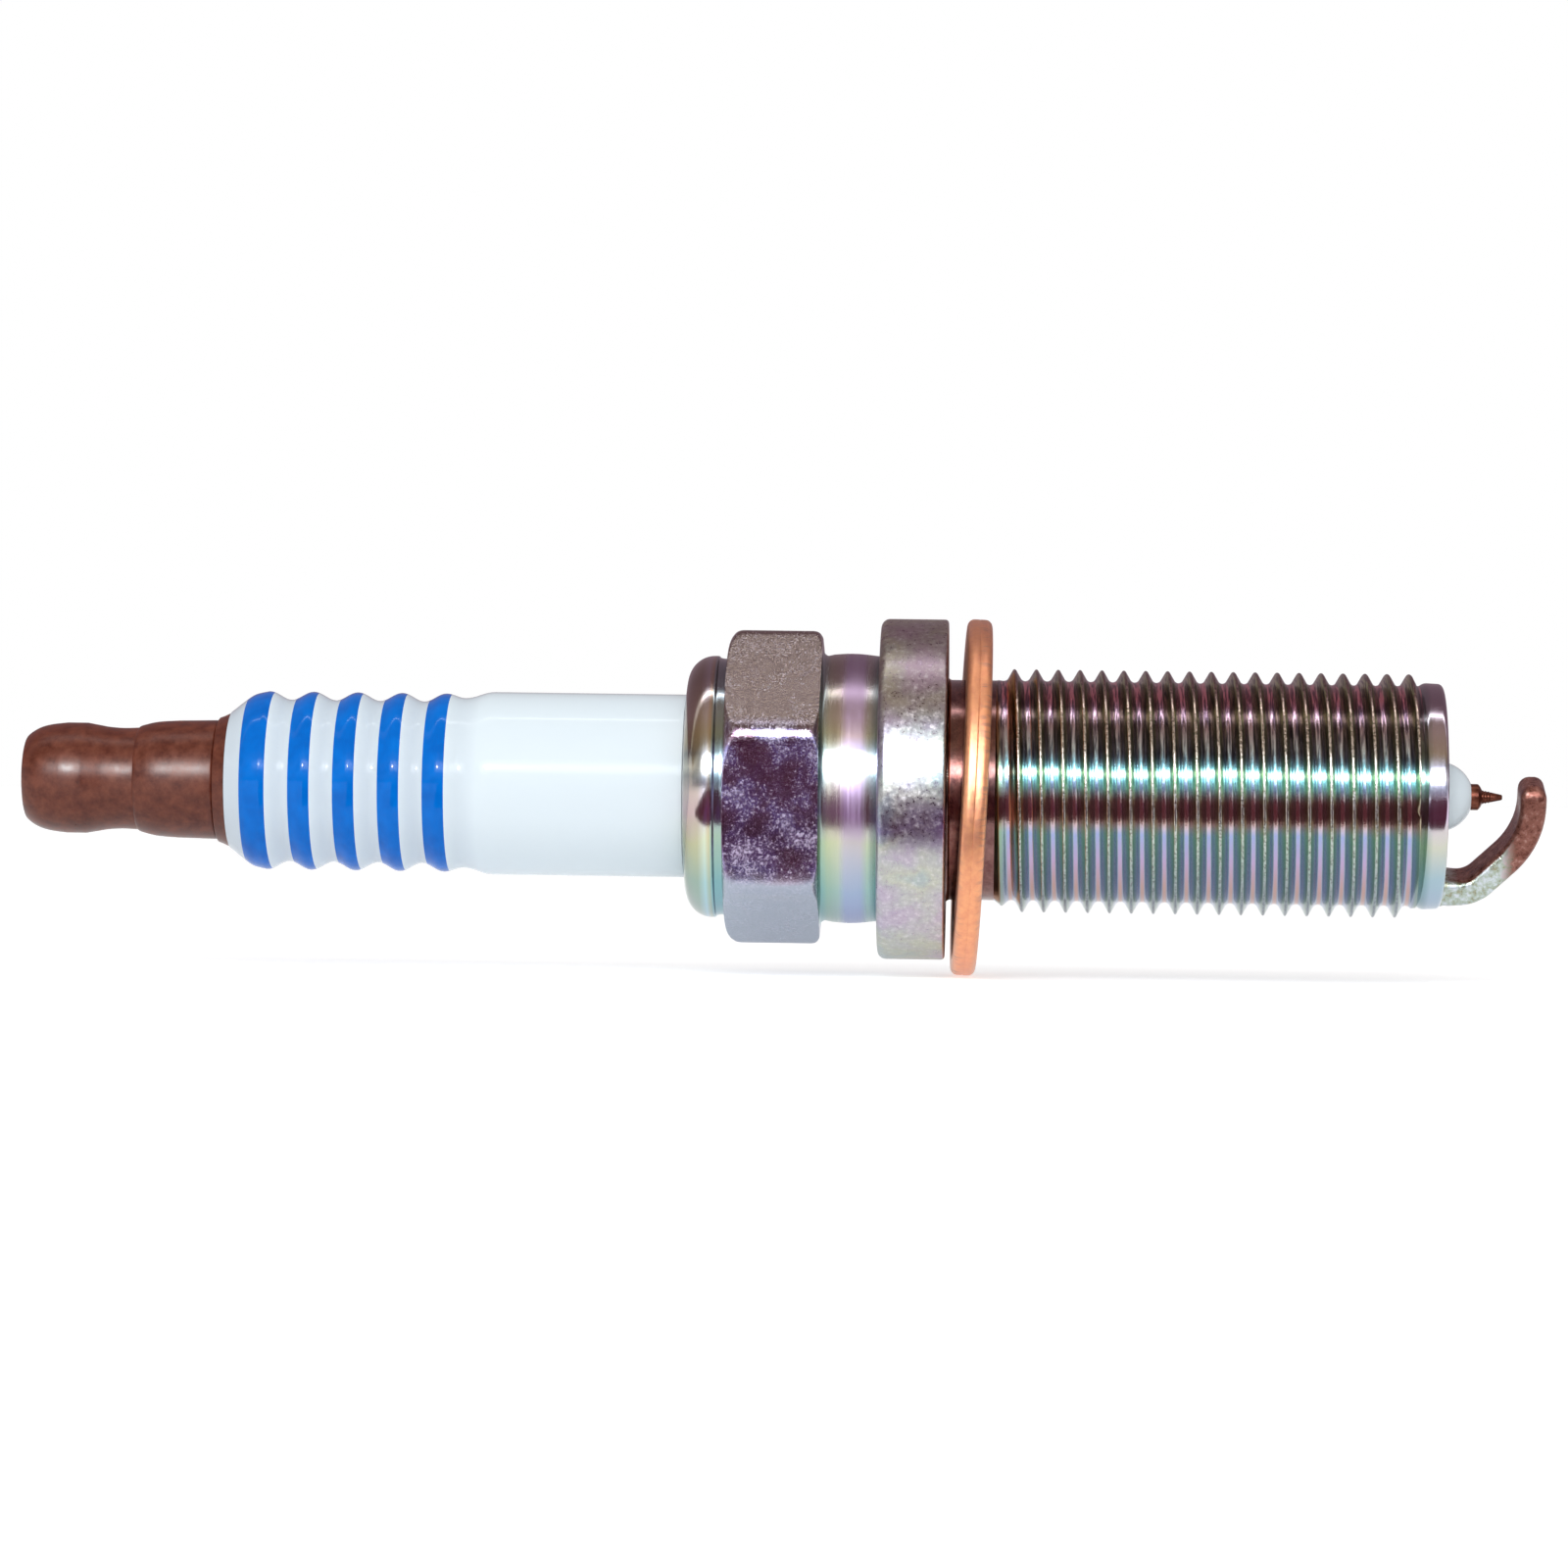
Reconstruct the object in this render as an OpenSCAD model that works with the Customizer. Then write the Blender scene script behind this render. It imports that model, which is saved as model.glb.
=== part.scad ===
// Long-reach M14 x 1.25 spark plug with a 16 mm hexagon and an iridium needle.
// The axis is X: the firing end points along +X, the terminal along -X, and +Z is up.
// The origin is the centre of the face that the gasket is tightened against.
// A turned piece is an outline of [radius, x] points, spun about the axis.

/* [Shell] */
// Length from the gasket seat to the shell's end face
shell_reach = 28.2; // [26:0.1:30]
// Diameter over the thread crests
thread_d = 13.9; // [13.7:0.05:14]
// Thread pitch
thread_pitch = 1.25; // [1:0.25:1.5]
// Hexagon width across its flats
hex_af = 16; // [15.8:0.05:16.2]
// Length of the hexagon
hex_len = 5.4; // [5:0.1:5.6]
// Turn of the hexagon about the axis
hex_turn = 9; // [0:1:59]
// Diameter of the collar that carries the gasket seat
collar_d = 19.5; // [19:0.1:20]
// Length of the collar
collar_len = 3.85; // [3.5:0.05:4.5]
// Diameter of the rim that is crimped over the insulator
crimp_d = 15; // [14.8:0.1:15.2]

/* [Insulator] */
// Diameter of the smooth barrel
barrel_d = 10.5; // [10.3:0.05:10.6]
// Number of ribs that lengthen the surface path
rib_count = 5; // [2:1:5]
// Spacing of the ribs
rib_pitch = 2.55; // [2.4:0.01:2.7]
// Height of a rib above the valleys
rib_height = 0.48; // [0.2:0.02:0.6]
// Bore that holds the stud, the seals and the resistor
core_bore_d = 4; // [3.8:0.1:4.2]

/* [Terminal] */
// Height of the terminal's end face above the gasket seat
terminal_height = 53; // [52:0.1:53.5]
// Diameter of the terminal's rounded head
terminal_d = 6.35; // [6.2:0.05:6.4]
// Diameter of the threaded stud under the terminal nut
stud_d = 3.96; // [3.8:0.02:4]
// Pitch of the stud's thread
stud_pitch = 0.7; // [0.5:0.05:0.8]

/* [Firing end] */
// Spark gap between the needle and the ground electrode
spark_gap = 0.95; // [0.6:0.05:1.1]
// Diameter of the centre electrode where it leaves the insulator
electrode_d = 1.5; // [1.3:0.1:1.5]
// Thickness of the ground electrode
strap_t = 1.5; // [1.4:0.05:1.7]
// Width of the ground electrode
strap_w = 2.7; // [2.4:0.1:2.8]
// Turn of the ground electrode about the axis, away from straight down
strap_turn = 20; // [0:1:40]

/* [Gasket] */
// Outside diameter of the gasket
gasket_d = 20.4; // [20:0.1:21]
// Bore of the gasket, smaller than the thread so that it stays on
gasket_bore = 13.6; // [13.5:0.05:13.6]
// Thickness of the gasket
gasket_t = 1.4; // [1.2:0.05:1.5]
// Distance from the seat to the middle of the loose gasket
gasket_x = 1.4; // [1.3:0.05:1.5]
// Drop of the loose gasket on the neck
gasket_drop = 0.42; // [0.3:0.02:0.44]
// Lean of the loose gasket's top away from the seat
gasket_lean = 2.1; // [0:0.1:2.5]
// Lean of its near side away from the seat
gasket_swing = 1.5; // [0:0.1:2]

/* [Hidden] */
$fn = 96;

// Shell stations, back from the seat at x = 0 and forward to the end face.
thread_r = thread_d / 2;
ridge_depth = 0.6 * thread_pitch;
root_r = thread_r - ridge_depth;
neck_r = 6.3;
first_crest_x = 3.6;
end_ring_len = 1.4;
end_ring_r = 6.45;
crest_count = floor((shell_reach - end_ring_len - first_crest_x - thread_pitch / 4) / thread_pitch) + 1;
collar_r = collar_d / 2;
groove_len = 3.3;
groove_r = 7.58;
groove_bulge = 0.145;
hex_x1 = -collar_len - groove_len;
hex_x0 = hex_x1 - hex_len;
hex_corner_r = hex_af / sqrt(3);
hex_back_round = 1.3;
hex_front_round = 0.9;
crimp_r = crimp_d / 2;
crimp_round = 1.5;
crimp_x0 = hex_x0 - 2.3;
lip_r = 5.32;
lip_x1 = crimp_x0 + 1.1;
shell_bore_r = 6;

// Seat inside the shell: two parallel 45 degree cones with the seat packing between them.
// Along each cone, x + radius is constant.
nose_clear_r = 4.7;
seat_cone_sum = shell_reach - 8.8;
seat_packing_t = 0.3;
insulator_cone_sum = seat_cone_sum - seat_packing_t * sqrt(2);
seat_land_r = 3.7;

// Insulator stations.
barrel_r = barrel_d / 2;
core_bore_r = core_bore_d / 2;
insulator_top_x = -41.15;
first_rib_x = -39;
rib_valley_r = 4.65;
rib_crest_r = rib_valley_r + rib_height;
last_rib_x = first_rib_x + rib_pitch * (rib_count - 1);
last_valley_x = last_rib_x + 1.1;
last_valley_r = barrel_r - 0.37;
barrel_x0 = last_rib_x + 2.8;
shoulder_r = 5.95;
shoulder_x0 = -6.5;
front_taper_x = -0.5;
glaze_end_x = crimp_x0 - 0.1;
body_r = barrel_r - 0.25;
nose_root_r = 3.2;
nose_end_r = 2;
nose_ball_x = shell_reach - 0.15;
electrode_bore_r = 0.8;
electrode_shank_bore_r = 1;
electrode_seat_x0 = 10.55;
electrode_seat_x1 = 11.3;
electrode_step_x = 22.6;
shank_r = electrode_shank_bore_r - 0.05;

// Packing between the crimp and the insulator's shoulder.
packing_mean_r = (body_r + shell_bore_r) / 2;
packing_wire_r = (shell_bore_r - body_r) / 2 - 0.01;
upper_packing_x = lip_x1 + packing_wire_r;
lower_packing_x = packing_mean_r + (shoulder_x0 - body_r) - packing_wire_r * sqrt(2);

// Conductive train in the core bore.
stud_x0 = -terminal_height + 2.5;
stud_flange_x0 = insulator_top_x - 0.7;
stem_r = 1.9;
knurl_x0 = -14;
knurl_count = 6;
knurl_pitch = 1;
knurl_r = 1.75;
knurl_depth = 0.2;
stem_end_x = knurl_x0 + knurl_count * knurl_pitch;
upper_seal_x0 = -12;
resistor_x0 = -5.5;
resistor_x1 = 4.5;
knob_x0 = 8.4;
knob_x1 = 10;
knob_r = 1.1;
flange_r = 1.6;
seat_slope = (electrode_seat_x1 - electrode_seat_x0) / (core_bore_r - electrode_shank_bore_r);
flange_cone_x = electrode_seat_x0 + (core_bore_r - flange_r) * seat_slope;
copper_r = 0.55;
copper_x1 = shell_reach - 2;

// Needle: the electrode tapers to a weld neck, and the iridium tip is welded on its end.
tip_x1 = shell_reach + 3.5;
tip_x0 = tip_x1 - 0.65;
tip_root_r = 0.29;
tip_end_r = 0.16;
weld_neck_x = tip_x0 - 0.5;
weld_neck_r = 0.38;
electrode_taper_x = weld_neck_x - 0.25;

// Ground electrode: its centre line leaves the shell's end face along +X, turns 45 degrees,
// runs on, and turns another 45 degrees to cross the axis. It is laid out in [x, outward].
strap_root_rho = 5.5;
strap_straight = 1.1;
bend1_r = 2;
strap_diagonal = 1.8;
strap_leg_x = tip_x1 + spark_gap + strap_t / 2;
bend1_centre = [shell_reach + strap_straight, strap_root_rho - bend1_r];
bend1_end = bend1_centre + bend1_r * [cos(45), sin(45)];
bend2_start = bend1_end + strap_diagonal * [cos(45), -sin(45)];
bend2_r = (strap_leg_x - bend2_start[0]) / (1 - cos(45));
bend2_centre = bend2_start - bend2_r * [cos(45), sin(45)];
strap_past_axis = 1;
strap_corner_r = 0.4;
strap_end_r = 0.5;
strap_core_t = 0.7;
strap_core_w = 1.5;
strap_core_short = 1;

gasket_round = 0.3;
gasket_groove = 0.08;

// Points on a circle about [centre_r, centre_x]: 0 degrees points outward, 90 along +X.
function arc(centre_r, centre_x, r, a0, a1, n = 8) =
    [for (i = [0:n]) let (a = a0 + (a1 - a0) * i / n)
        [centre_r + r * cos(a), centre_x + r * sin(a)]];

// An S-shaped blend from radius r0 at x0 to radius r1 at x1.
function ease(r0, x0, r1, x1, n = 6) =
    [for (i = [0:n]) [r0 + (r1 - r0) * (1 - cos(180 * i / n)) / 2, x0 + (x1 - x0) * i / n]];

function reversed(points) = [for (i = [len(points) - 1:-1:0]) points[i]];

// A smooth curve through hand-set points.
function curve(points, n = 4) = [
    for (i = [0:len(points) - 2], k = [0:n - 1])
        let (a = points[max(i - 1, 0)], b = points[i], c = points[i + 1],
             d = points[min(i + 2, len(points) - 1)], t = k / n)
            0.5 * ((2 * b) + (c - a) * t + (2 * a - 5 * b + 4 * c - d) * t * t
                   + (3 * b - a - 3 * c + d) * t * t * t),
    points[len(points) - 1]];

// The stem's knurl, from ring number first to its end.
function knurl(first) = [for (i = [first:knurl_count - 1]) let (x = knurl_x0 + i * knurl_pitch)
    each [[knurl_r, x], [knurl_r, x + 0.6 * knurl_pitch],
          [knurl_r - knurl_depth, x + 0.6 * knurl_pitch], [knurl_r - knurl_depth, x + knurl_pitch]]];

module turned() rotate([0, 90, 0]) rotate_extrude() children();

// ---- Shell ----

module shell_outside() turned() polygon(concat(
    [[0, crimp_x0]],
    arc(crimp_r - crimp_round, crimp_x0 + crimp_round, crimp_round, -90, 0),
    [[crimp_r, hex_x0 + 0.5], [groove_r, hex_x0 + 0.5], [groove_r, hex_x1]],
    [for (t = [0:1 / 6:1]) [groove_r + groove_bulge * sin(180 * t), hex_x1 + groove_len * t]],
    arc(collar_r - 0.5, 0.5 - collar_len, 0.5, -90, 0, 4),
    arc(collar_r - 0.2, -0.2, 0.2, 0, 90, 3),
    [[neck_r, 0], [neck_r, first_crest_x - 0.6 * thread_pitch]],
    [for (i = [0:crest_count - 1]) let (x = first_crest_x + i * thread_pitch)
        each [[root_r, x - 0.41 * thread_pitch], [thread_r, x - 0.06 * thread_pitch],
              [thread_r, x + 0.06 * thread_pitch], [root_r, x + 0.41 * thread_pitch]]],
    [[root_r, shell_reach - end_ring_len], [end_ring_r, shell_reach - end_ring_len + 0.2],
     [end_ring_r, shell_reach - 0.3], [end_ring_r - 0.15, shell_reach], [0, shell_reach]]));

module shell_inside() turned() polygon([
    [0, crimp_x0 - 1], [lip_r, crimp_x0 - 1], [lip_r, lip_x1], [shell_bore_r, lip_x1],
    [shell_bore_r, -0.35], [nose_clear_r, -0.35 + shell_bore_r - nose_clear_r],
    [nose_clear_r, seat_cone_sum - nose_clear_r], [seat_land_r, seat_cone_sum - seat_land_r],
    [seat_land_r, shell_reach - 11.5], [nose_clear_r - 0.1, shell_reach - 10.6],
    [nose_clear_r, shell_reach + 1], [0, shell_reach + 1]]);

// The hexagon's corners are turned off in a rounded shoulder at both ends.
module hexagon() intersection() {
    translate([hex_x0, 0, 0]) rotate([0, 90, 0]) rotate([0, 0, hex_turn])
        cylinder(r = hex_corner_r, h = hex_len, $fn = 6);
    turned() polygon(concat(
        [[0, hex_x0]],
        arc(hex_corner_r - hex_back_round, hex_x0 + hex_back_round, hex_back_round, -90, 0),
        arc(hex_corner_r - hex_front_round, hex_x1 - hex_front_round, hex_front_round, 0, 75, 6),
        [[groove_r, hex_x1], [0, hex_x1]]));
}

module metal_shell() color([0.62, 0.6, 0.56]) difference() {
    union() {
        shell_outside();
        hexagon();
    }
    shell_inside();
}

// ---- Insulator and its packing ----

module insulator() color("white") turned() polygon(concat(
    [[core_bore_r, insulator_top_x]],
    curve([[3.95, insulator_top_x], [4.12, insulator_top_x + 0.25], [4.6, insulator_top_x + 0.85],
           [4.95, insulator_top_x + 1.4], [rib_crest_r, first_rib_x]]),
    [for (i = [1:rib_count - 1]) let (x = first_rib_x + i * rib_pitch)
        each concat(ease(rib_crest_r, x - rib_pitch, rib_valley_r, x - rib_pitch / 2),
                    ease(rib_valley_r, x - rib_pitch / 2, rib_crest_r, x))],
    ease(rib_crest_r, last_rib_x, last_valley_r, last_valley_x),
    ease(last_valley_r, last_valley_x, barrel_r, barrel_x0),
    [[barrel_r, glaze_end_x], [body_r, glaze_end_x], [body_r, shoulder_x0],
     [shoulder_r, shoulder_x0 + shoulder_r - body_r],
     [shoulder_r, front_taper_x], [nose_clear_r - 0.1, front_taper_x + shoulder_r - nose_clear_r + 0.1],
     [nose_clear_r - 0.1, insulator_cone_sum - nose_clear_r + 0.1],
     [nose_root_r + 0.2, insulator_cone_sum - nose_root_r - 0.2],
     [nose_root_r, insulator_cone_sum - nose_root_r + 0.1]],
    arc(0, nose_ball_x, nose_end_r, 0, acos(electrode_bore_r / nose_end_r) - 1, 10),
    [[electrode_bore_r, nose_ball_x + sqrt(pow(nose_end_r, 2) - pow(electrode_bore_r, 2))],
     [electrode_bore_r, electrode_step_x + 0.4], [electrode_shank_bore_r, electrode_step_x],
     [electrode_shank_bore_r, electrode_seat_x1], [core_bore_r, electrode_seat_x0]]));

module packing_ring(x) color([0.45, 0.45, 0.47]) turned()
    translate([packing_mean_r, x]) circle(r = packing_wire_r);

module upper_packing_ring() packing_ring(upper_packing_x);

module lower_packing_ring() packing_ring(lower_packing_x);

module talc_packing() color([0.85, 0.85, 0.8]) turned() polygon([
    [body_r, upper_packing_x + packing_wire_r], [shell_bore_r, upper_packing_x + packing_wire_r],
    [shell_bore_r, lower_packing_x - packing_wire_r], [body_r, lower_packing_x - packing_wire_r]]);

module seat_packing() color([0.5, 0.5, 0.52]) turned() polygon([
    for (corner = [[seat_cone_sum, 4.55], [seat_cone_sum, 3.85],
                   [insulator_cone_sum, 3.85], [insulator_cone_sum, 4.55]])
        [corner[1], corner[0] - corner[1]]]);

// ---- Terminal ----

// A curve through points that are measured from the nut's end face.
function from_end(points) = curve([for (p = points) [p[0], p[1] - terminal_height]]);

// The nut is turned with a rounded head, a waist and a plain foot over a blind bore.
module terminal_nut() color([0.45, 0.25, 0.2]) turned() polygon(concat(
    [[0, -terminal_height]],
    from_end([[1.95, 0], [2.4, 0.1], [2.83, 0.7], [3.05, 1.4], [terminal_d / 2, 2.35]]),
    from_end([[terminal_d / 2, 3.5], [3.04, 4.25], [2.95, 4.8], [2.9, 5.6], [2.93, 6.4]]),
    from_end([[2.96, 6.65], [3.06, 6.95], [3.22, 7.35], [3.31, 7.85], [3.37, 8.8]]),
    [[3.42, stud_flange_x0 - 0.2], [3.3, stud_flange_x0], [stud_d / 2 + 0.05, stud_flange_x0],
     [stud_d / 2 + 0.05, stud_x0 - 0.7], [0, stud_x0 - 1.5]]));

stud_crests = floor((stud_flange_x0 - stud_x0 - 1.2) / stud_pitch);

module terminal_stud() color([0.45, 0.27, 0.22]) turned() polygon(concat(
    [[0, stud_x0], [stud_d / 2 - 0.43, stud_x0]],
    [for (i = [0:stud_crests]) let (x = stud_x0 + 0.5 + i * stud_pitch)
        each [[stud_d / 2, x - 0.1], [stud_d / 2, x + 0.1], [stud_d / 2 - 0.4, x + stud_pitch / 2]]],
    [[stud_d / 2 - 0.4, stud_flange_x0], [3.55, stud_flange_x0], [3.87, insulator_top_x],
     [stem_r, insulator_top_x], [stem_r, knurl_x0]],
    knurl(0), [[0, stem_end_x]]));

// ---- Conductive train in the core bore ----

module upper_glass_seal() color([0.3, 0.28, 0.25]) turned() polygon(concat(
    [[core_bore_r, upper_seal_x0], [core_bore_r, resistor_x0], [0, resistor_x0], [0, stem_end_x]],
    reversed(knurl(2))));

module resistor() color([0.15, 0.15, 0.15]) turned()
    translate([0, resistor_x0]) square([core_bore_r, resistor_x1 - resistor_x0]);

// Outline of the electrode's head, from the axis to the step under its flange.
head_outline = [[0, knob_x0], [knob_r, knob_x0], [knob_r, knob_x1], [flange_r, knob_x1],
                [flange_r, flange_cone_x]];

module lower_glass_seal() color([0.3, 0.28, 0.25]) turned() polygon(concat(
    [[0, resistor_x1], [core_bore_r, resistor_x1], [core_bore_r, electrode_seat_x0]],
    reversed(head_outline)));

module centre_electrode() color([0.4, 0.22, 0.18]) turned() polygon(concat(
    [for (i = [1:len(head_outline) - 1]) head_outline[i]],
    [[electrode_shank_bore_r, electrode_seat_x1], [shank_r, electrode_seat_x1],
     [shank_r, electrode_step_x], [electrode_d / 2, electrode_step_x + 0.4],
     [electrode_d / 2, electrode_taper_x], [weld_neck_r, weld_neck_x],
     [tip_root_r + 0.01, tip_x0], [0, tip_x0], [0, copper_x1],
     [copper_r, copper_x1 - 0.4], [copper_r, knob_x0]]));

module copper_core() color([0.8, 0.45, 0.3]) turned() polygon([
    [0, knob_x0], [copper_r, knob_x0], [copper_r, copper_x1 - 0.4], [0, copper_x1]]);

module iridium_tip() color([0.35, 0.2, 0.17]) turned() polygon([
    [0, tip_x0], [tip_root_r, tip_x0], [tip_end_r, tip_x1 - 0.08], [tip_end_r - 0.06, tip_x1],
    [0, tip_x1]]);

// ---- Ground electrode ----

// A rounded rectangle of size t by w about the origin.
function rounded(t, w, r) = [
    for (corner = [[1, 1], [-1, 1], [-1, -1], [1, -1]])
        let (a0 = corner[0] > 0 ? (corner[1] > 0 ? 0 : 270) : (corner[1] > 0 ? 90 : 180))
            each arc(corner[0] * (t / 2 - r), corner[1] * (w / 2 - r), r, a0, a0 + 90, 4)];

// The section swept along the centre line, stopping short of the strap's end by cut.
module strap_path(t, w, r, cut) {
    translate([shell_reach, strap_root_rho, 0]) rotate([90, 0, 90])
        linear_extrude(strap_straight) polygon(rounded(t, w, r));
    translate(concat(bend1_centre, 0)) rotate([0, 0, 45]) rotate_extrude(angle = 45)
        translate([bend1_r, 0]) polygon(rounded(t, w, r));
    translate(concat(bend1_end, 0)) rotate([0, 0, 45]) rotate([90, 0, 0])
        linear_extrude(strap_diagonal) polygon(rounded(t, w, r));
    translate(concat(bend2_centre, 0)) rotate_extrude(angle = 45)
        translate([bend2_r, 0]) polygon(rounded(t, w, r));
    translate([strap_leg_x, bend2_centre[1], 0]) rotate([90, 0, 0])
        linear_extrude(bend2_centre[1] + strap_past_axis - cut) polygon(rounded(t, w, r));
}

module placed_strap() rotate([strap_turn - 90, 0, 0]) children();

// Everything behind the strap's end, with the end's two edges rounded.
module strap_end_limit() translate([shell_reach - 1, -strap_past_axis, -strap_w])
    linear_extrude(2 * strap_w) polygon(concat(
        [[0, 20], [0, 0]],
        arc(strap_leg_x + strap_t / 2 - strap_end_r - shell_reach + 1, strap_end_r, strap_end_r, -90, 0, 5),
        [[strap_leg_x + strap_t / 2 - shell_reach + 1, 20]]));

module ground_electrode() color([0.45, 0.28, 0.24]) placed_strap() difference() {
    intersection() {
        strap_path(strap_t, strap_w, strap_corner_r, 0);
        strap_end_limit();
    }
    strap_path(strap_core_t, strap_core_w, 0.2, strap_core_short);
}

module ground_electrode_core() color([0.8, 0.45, 0.3]) placed_strap()
    strap_path(strap_core_t, strap_core_w, 0.2, strap_core_short);

// ---- Gasket ----

// A strip folded into a ring: rounded edges and a shallow seam around the middle of the rim.
module gasket() color([0.85, 0.5, 0.3]) translate([gasket_x, 0, -gasket_drop])
    rotate([0, gasket_lean, gasket_swing]) turned() polygon(concat(
        arc(gasket_bore / 2 + gasket_round, gasket_round - gasket_t / 2, gasket_round, 180, 270, 4),
        arc(gasket_d / 2 - gasket_round, gasket_round - gasket_t / 2, gasket_round, -90, 0, 4),
        [[gasket_d / 2, -gasket_groove], [gasket_d / 2 - gasket_groove, 0],
         [gasket_d / 2, gasket_groove]],
        arc(gasket_d / 2 - gasket_round, gasket_t / 2 - gasket_round, gasket_round, 0, 90, 4),
        arc(gasket_bore / 2 + gasket_round, gasket_t / 2 - gasket_round, gasket_round, 90, 180, 4)));

metal_shell();
insulator();
terminal_stud();
terminal_nut();
upper_glass_seal();
resistor();
lower_glass_seal();
centre_electrode();
copper_core();
iridium_tip();
upper_packing_ring();
talc_packing();
lower_packing_ring();
seat_packing();
gasket();
ground_electrode();
ground_electrode_core();
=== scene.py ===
"""A long-reach spark plug, laid level: the terminal to the left, the firing end to the right.

Lengths are in millimetres until a mesh is made. The plug's axis is X, its gasket seat is at x = 0,
and an outline is a list of (x, radius) points.
"""

from math import acos, atan2, ceil, cos, degrees, hypot, pi, radians, sin, sqrt, tan

import bmesh
import bpy
from mathutils import Matrix, Vector
from mathutils.noise import fractal


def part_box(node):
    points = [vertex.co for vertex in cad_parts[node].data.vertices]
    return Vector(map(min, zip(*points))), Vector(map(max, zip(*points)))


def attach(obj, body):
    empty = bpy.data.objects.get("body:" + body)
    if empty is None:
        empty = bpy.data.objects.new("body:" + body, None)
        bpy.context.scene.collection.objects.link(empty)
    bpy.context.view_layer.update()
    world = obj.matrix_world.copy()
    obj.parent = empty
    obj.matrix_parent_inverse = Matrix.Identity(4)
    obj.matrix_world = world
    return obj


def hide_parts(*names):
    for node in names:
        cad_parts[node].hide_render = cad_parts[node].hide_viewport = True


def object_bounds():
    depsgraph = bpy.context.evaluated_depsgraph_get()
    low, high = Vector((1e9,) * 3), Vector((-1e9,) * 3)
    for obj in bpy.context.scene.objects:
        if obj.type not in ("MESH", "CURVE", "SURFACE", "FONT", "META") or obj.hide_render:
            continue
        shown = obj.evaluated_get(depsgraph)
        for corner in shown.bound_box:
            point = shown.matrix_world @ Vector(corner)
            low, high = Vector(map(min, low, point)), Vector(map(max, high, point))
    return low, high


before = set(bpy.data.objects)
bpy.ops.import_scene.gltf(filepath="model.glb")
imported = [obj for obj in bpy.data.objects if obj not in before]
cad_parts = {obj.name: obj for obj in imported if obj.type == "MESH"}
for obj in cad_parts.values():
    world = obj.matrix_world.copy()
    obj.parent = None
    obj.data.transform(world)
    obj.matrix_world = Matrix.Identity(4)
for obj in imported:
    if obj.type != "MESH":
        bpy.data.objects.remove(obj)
cad_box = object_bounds()

MM = 0.001
AXIS = Vector((1, 0, 0))
CENTRE = Vector((0, 0, 0))
STEPS = 144

# ---- Sizes read from the frame, and the ones repeated from the part's source ----


def span(node_name):
    """The x of a node's two ends, and half its width."""
    low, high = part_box(node_name)
    return low.x / MM, high.x / MM, high.y / MM


shell_x0, shell_x1, collar_r = span("metal_shell")
insulator_x0 = span("insulator")[0]
nut_x0, nut_x1, nut_r = span("terminal_nut")
stud_x0 = span("terminal_stud")[0]
needle_x1 = span("centre_electrode")[1]
tip_x1 = span("iridium_tip")[1]
strap_x1 = span("ground_electrode")[1]

thread_pitch = 1.25
thread_crest_r = 6.95
thread_depth = 0.665
neck_r = 6.3
neck_fillet = 0.25
thread_x0 = 2.75
thread_x1 = 26.85
top_crest_x = 3.78
end_ring_r = 6.47
end_ring_round = 0.3
mouth_r = 4.7
mouth_round = 0.12
shell_bore_r = 6.0
lip_r = 5.32
lip_len = 1.1
lip_round = 0.2

collar_len = 3.85
collar_back_round = 0.5
collar_front_round = 0.2
groove_len = 3.3
groove_r = 7.58
groove_fillet = 0.35
groove_bulge = 0.145
hex_len = 5.4
hex_af = 16
hex_lean = 9
hex_back_round = 1.3
hex_front_round = 0.9
hex_face_r = 8.2
hex_corner_blend = 0.7
hex_shoulder_blend = 0.14
hex_corner_r = hex_af / sqrt(3)
hex_x1 = -collar_len - groove_len
hex_x0 = hex_x1 - hex_len
crimp_r = 7.5
crimp_round = 1.5
crimp_step = 0.16

barrel_r = 5.25
body_r = 5.0
shoulder_x0 = -6.5
shoulder_r = 5.9
front_taper_x = -0.5
long_body_r = 4.6
seat_x0 = 14.4
seat_x1 = 15.9
nose_root_r = 3.2
rib_count = 5
rib_pitch = 2.55
rib_valley_r = 4.65
rib_crest_r = 5.13
first_rib_x = -39
last_rib_x = first_rib_x + rib_pitch * (rib_count - 1)
last_valley_x = last_rib_x + 1.1
last_valley_r = barrel_r - 0.37
barrel_x0 = last_rib_x + 2.8
nose_r = 2.0
nose_ball_x = shell_x1 - 0.15
core_bore_r = 2.0
electrode_bore_r = 0.8
shank_bore_r = 1.0
shank_bore_x0 = 11
shank_bore_x1 = 20
electrode_seat_x = 10.4

terminal_r = 3.175
nut_foot_round = 0.15
stud_crest_r = 1.98
stud_pitch = 0.7
stud_depth = 0.42
nut_bore_r = 2.03
drill_room = 0.7
drill_point = 0.8
stem_r = 1.9
stem_end_x = -8
electrode_r = 0.75

strap_t = 1.5
strap_w = 2.7
strap_turn = 20
strap_root_rho = 5.5
strap_straight = 1.1
strap_diagonal = 1.8
strap_past_axis = 1.0
bend1_r = 2.0

gasket_r = 10.2
gasket_bore_r = 6.8
gasket_rim_round = 0.4
gasket_bore_round = 0.3
gasket_seam = 0.025
gasket_t = 1.4
gasket_x = 1.4
gasket_drop = 0.42
gasket_lean = 2.1
gasket_swing = 1.5

# ---- Outlines ----


def arc(centre_x, centre_r, r, start, end, n=8):
    """Points on a circle: 0 degrees points away from the axis, 90 along +X."""
    turns = [radians(start + (end - start) * i / n) for i in range(n + 1)]
    return [(centre_x + r * sin(a), centre_r + r * cos(a)) for a in turns]


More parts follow.
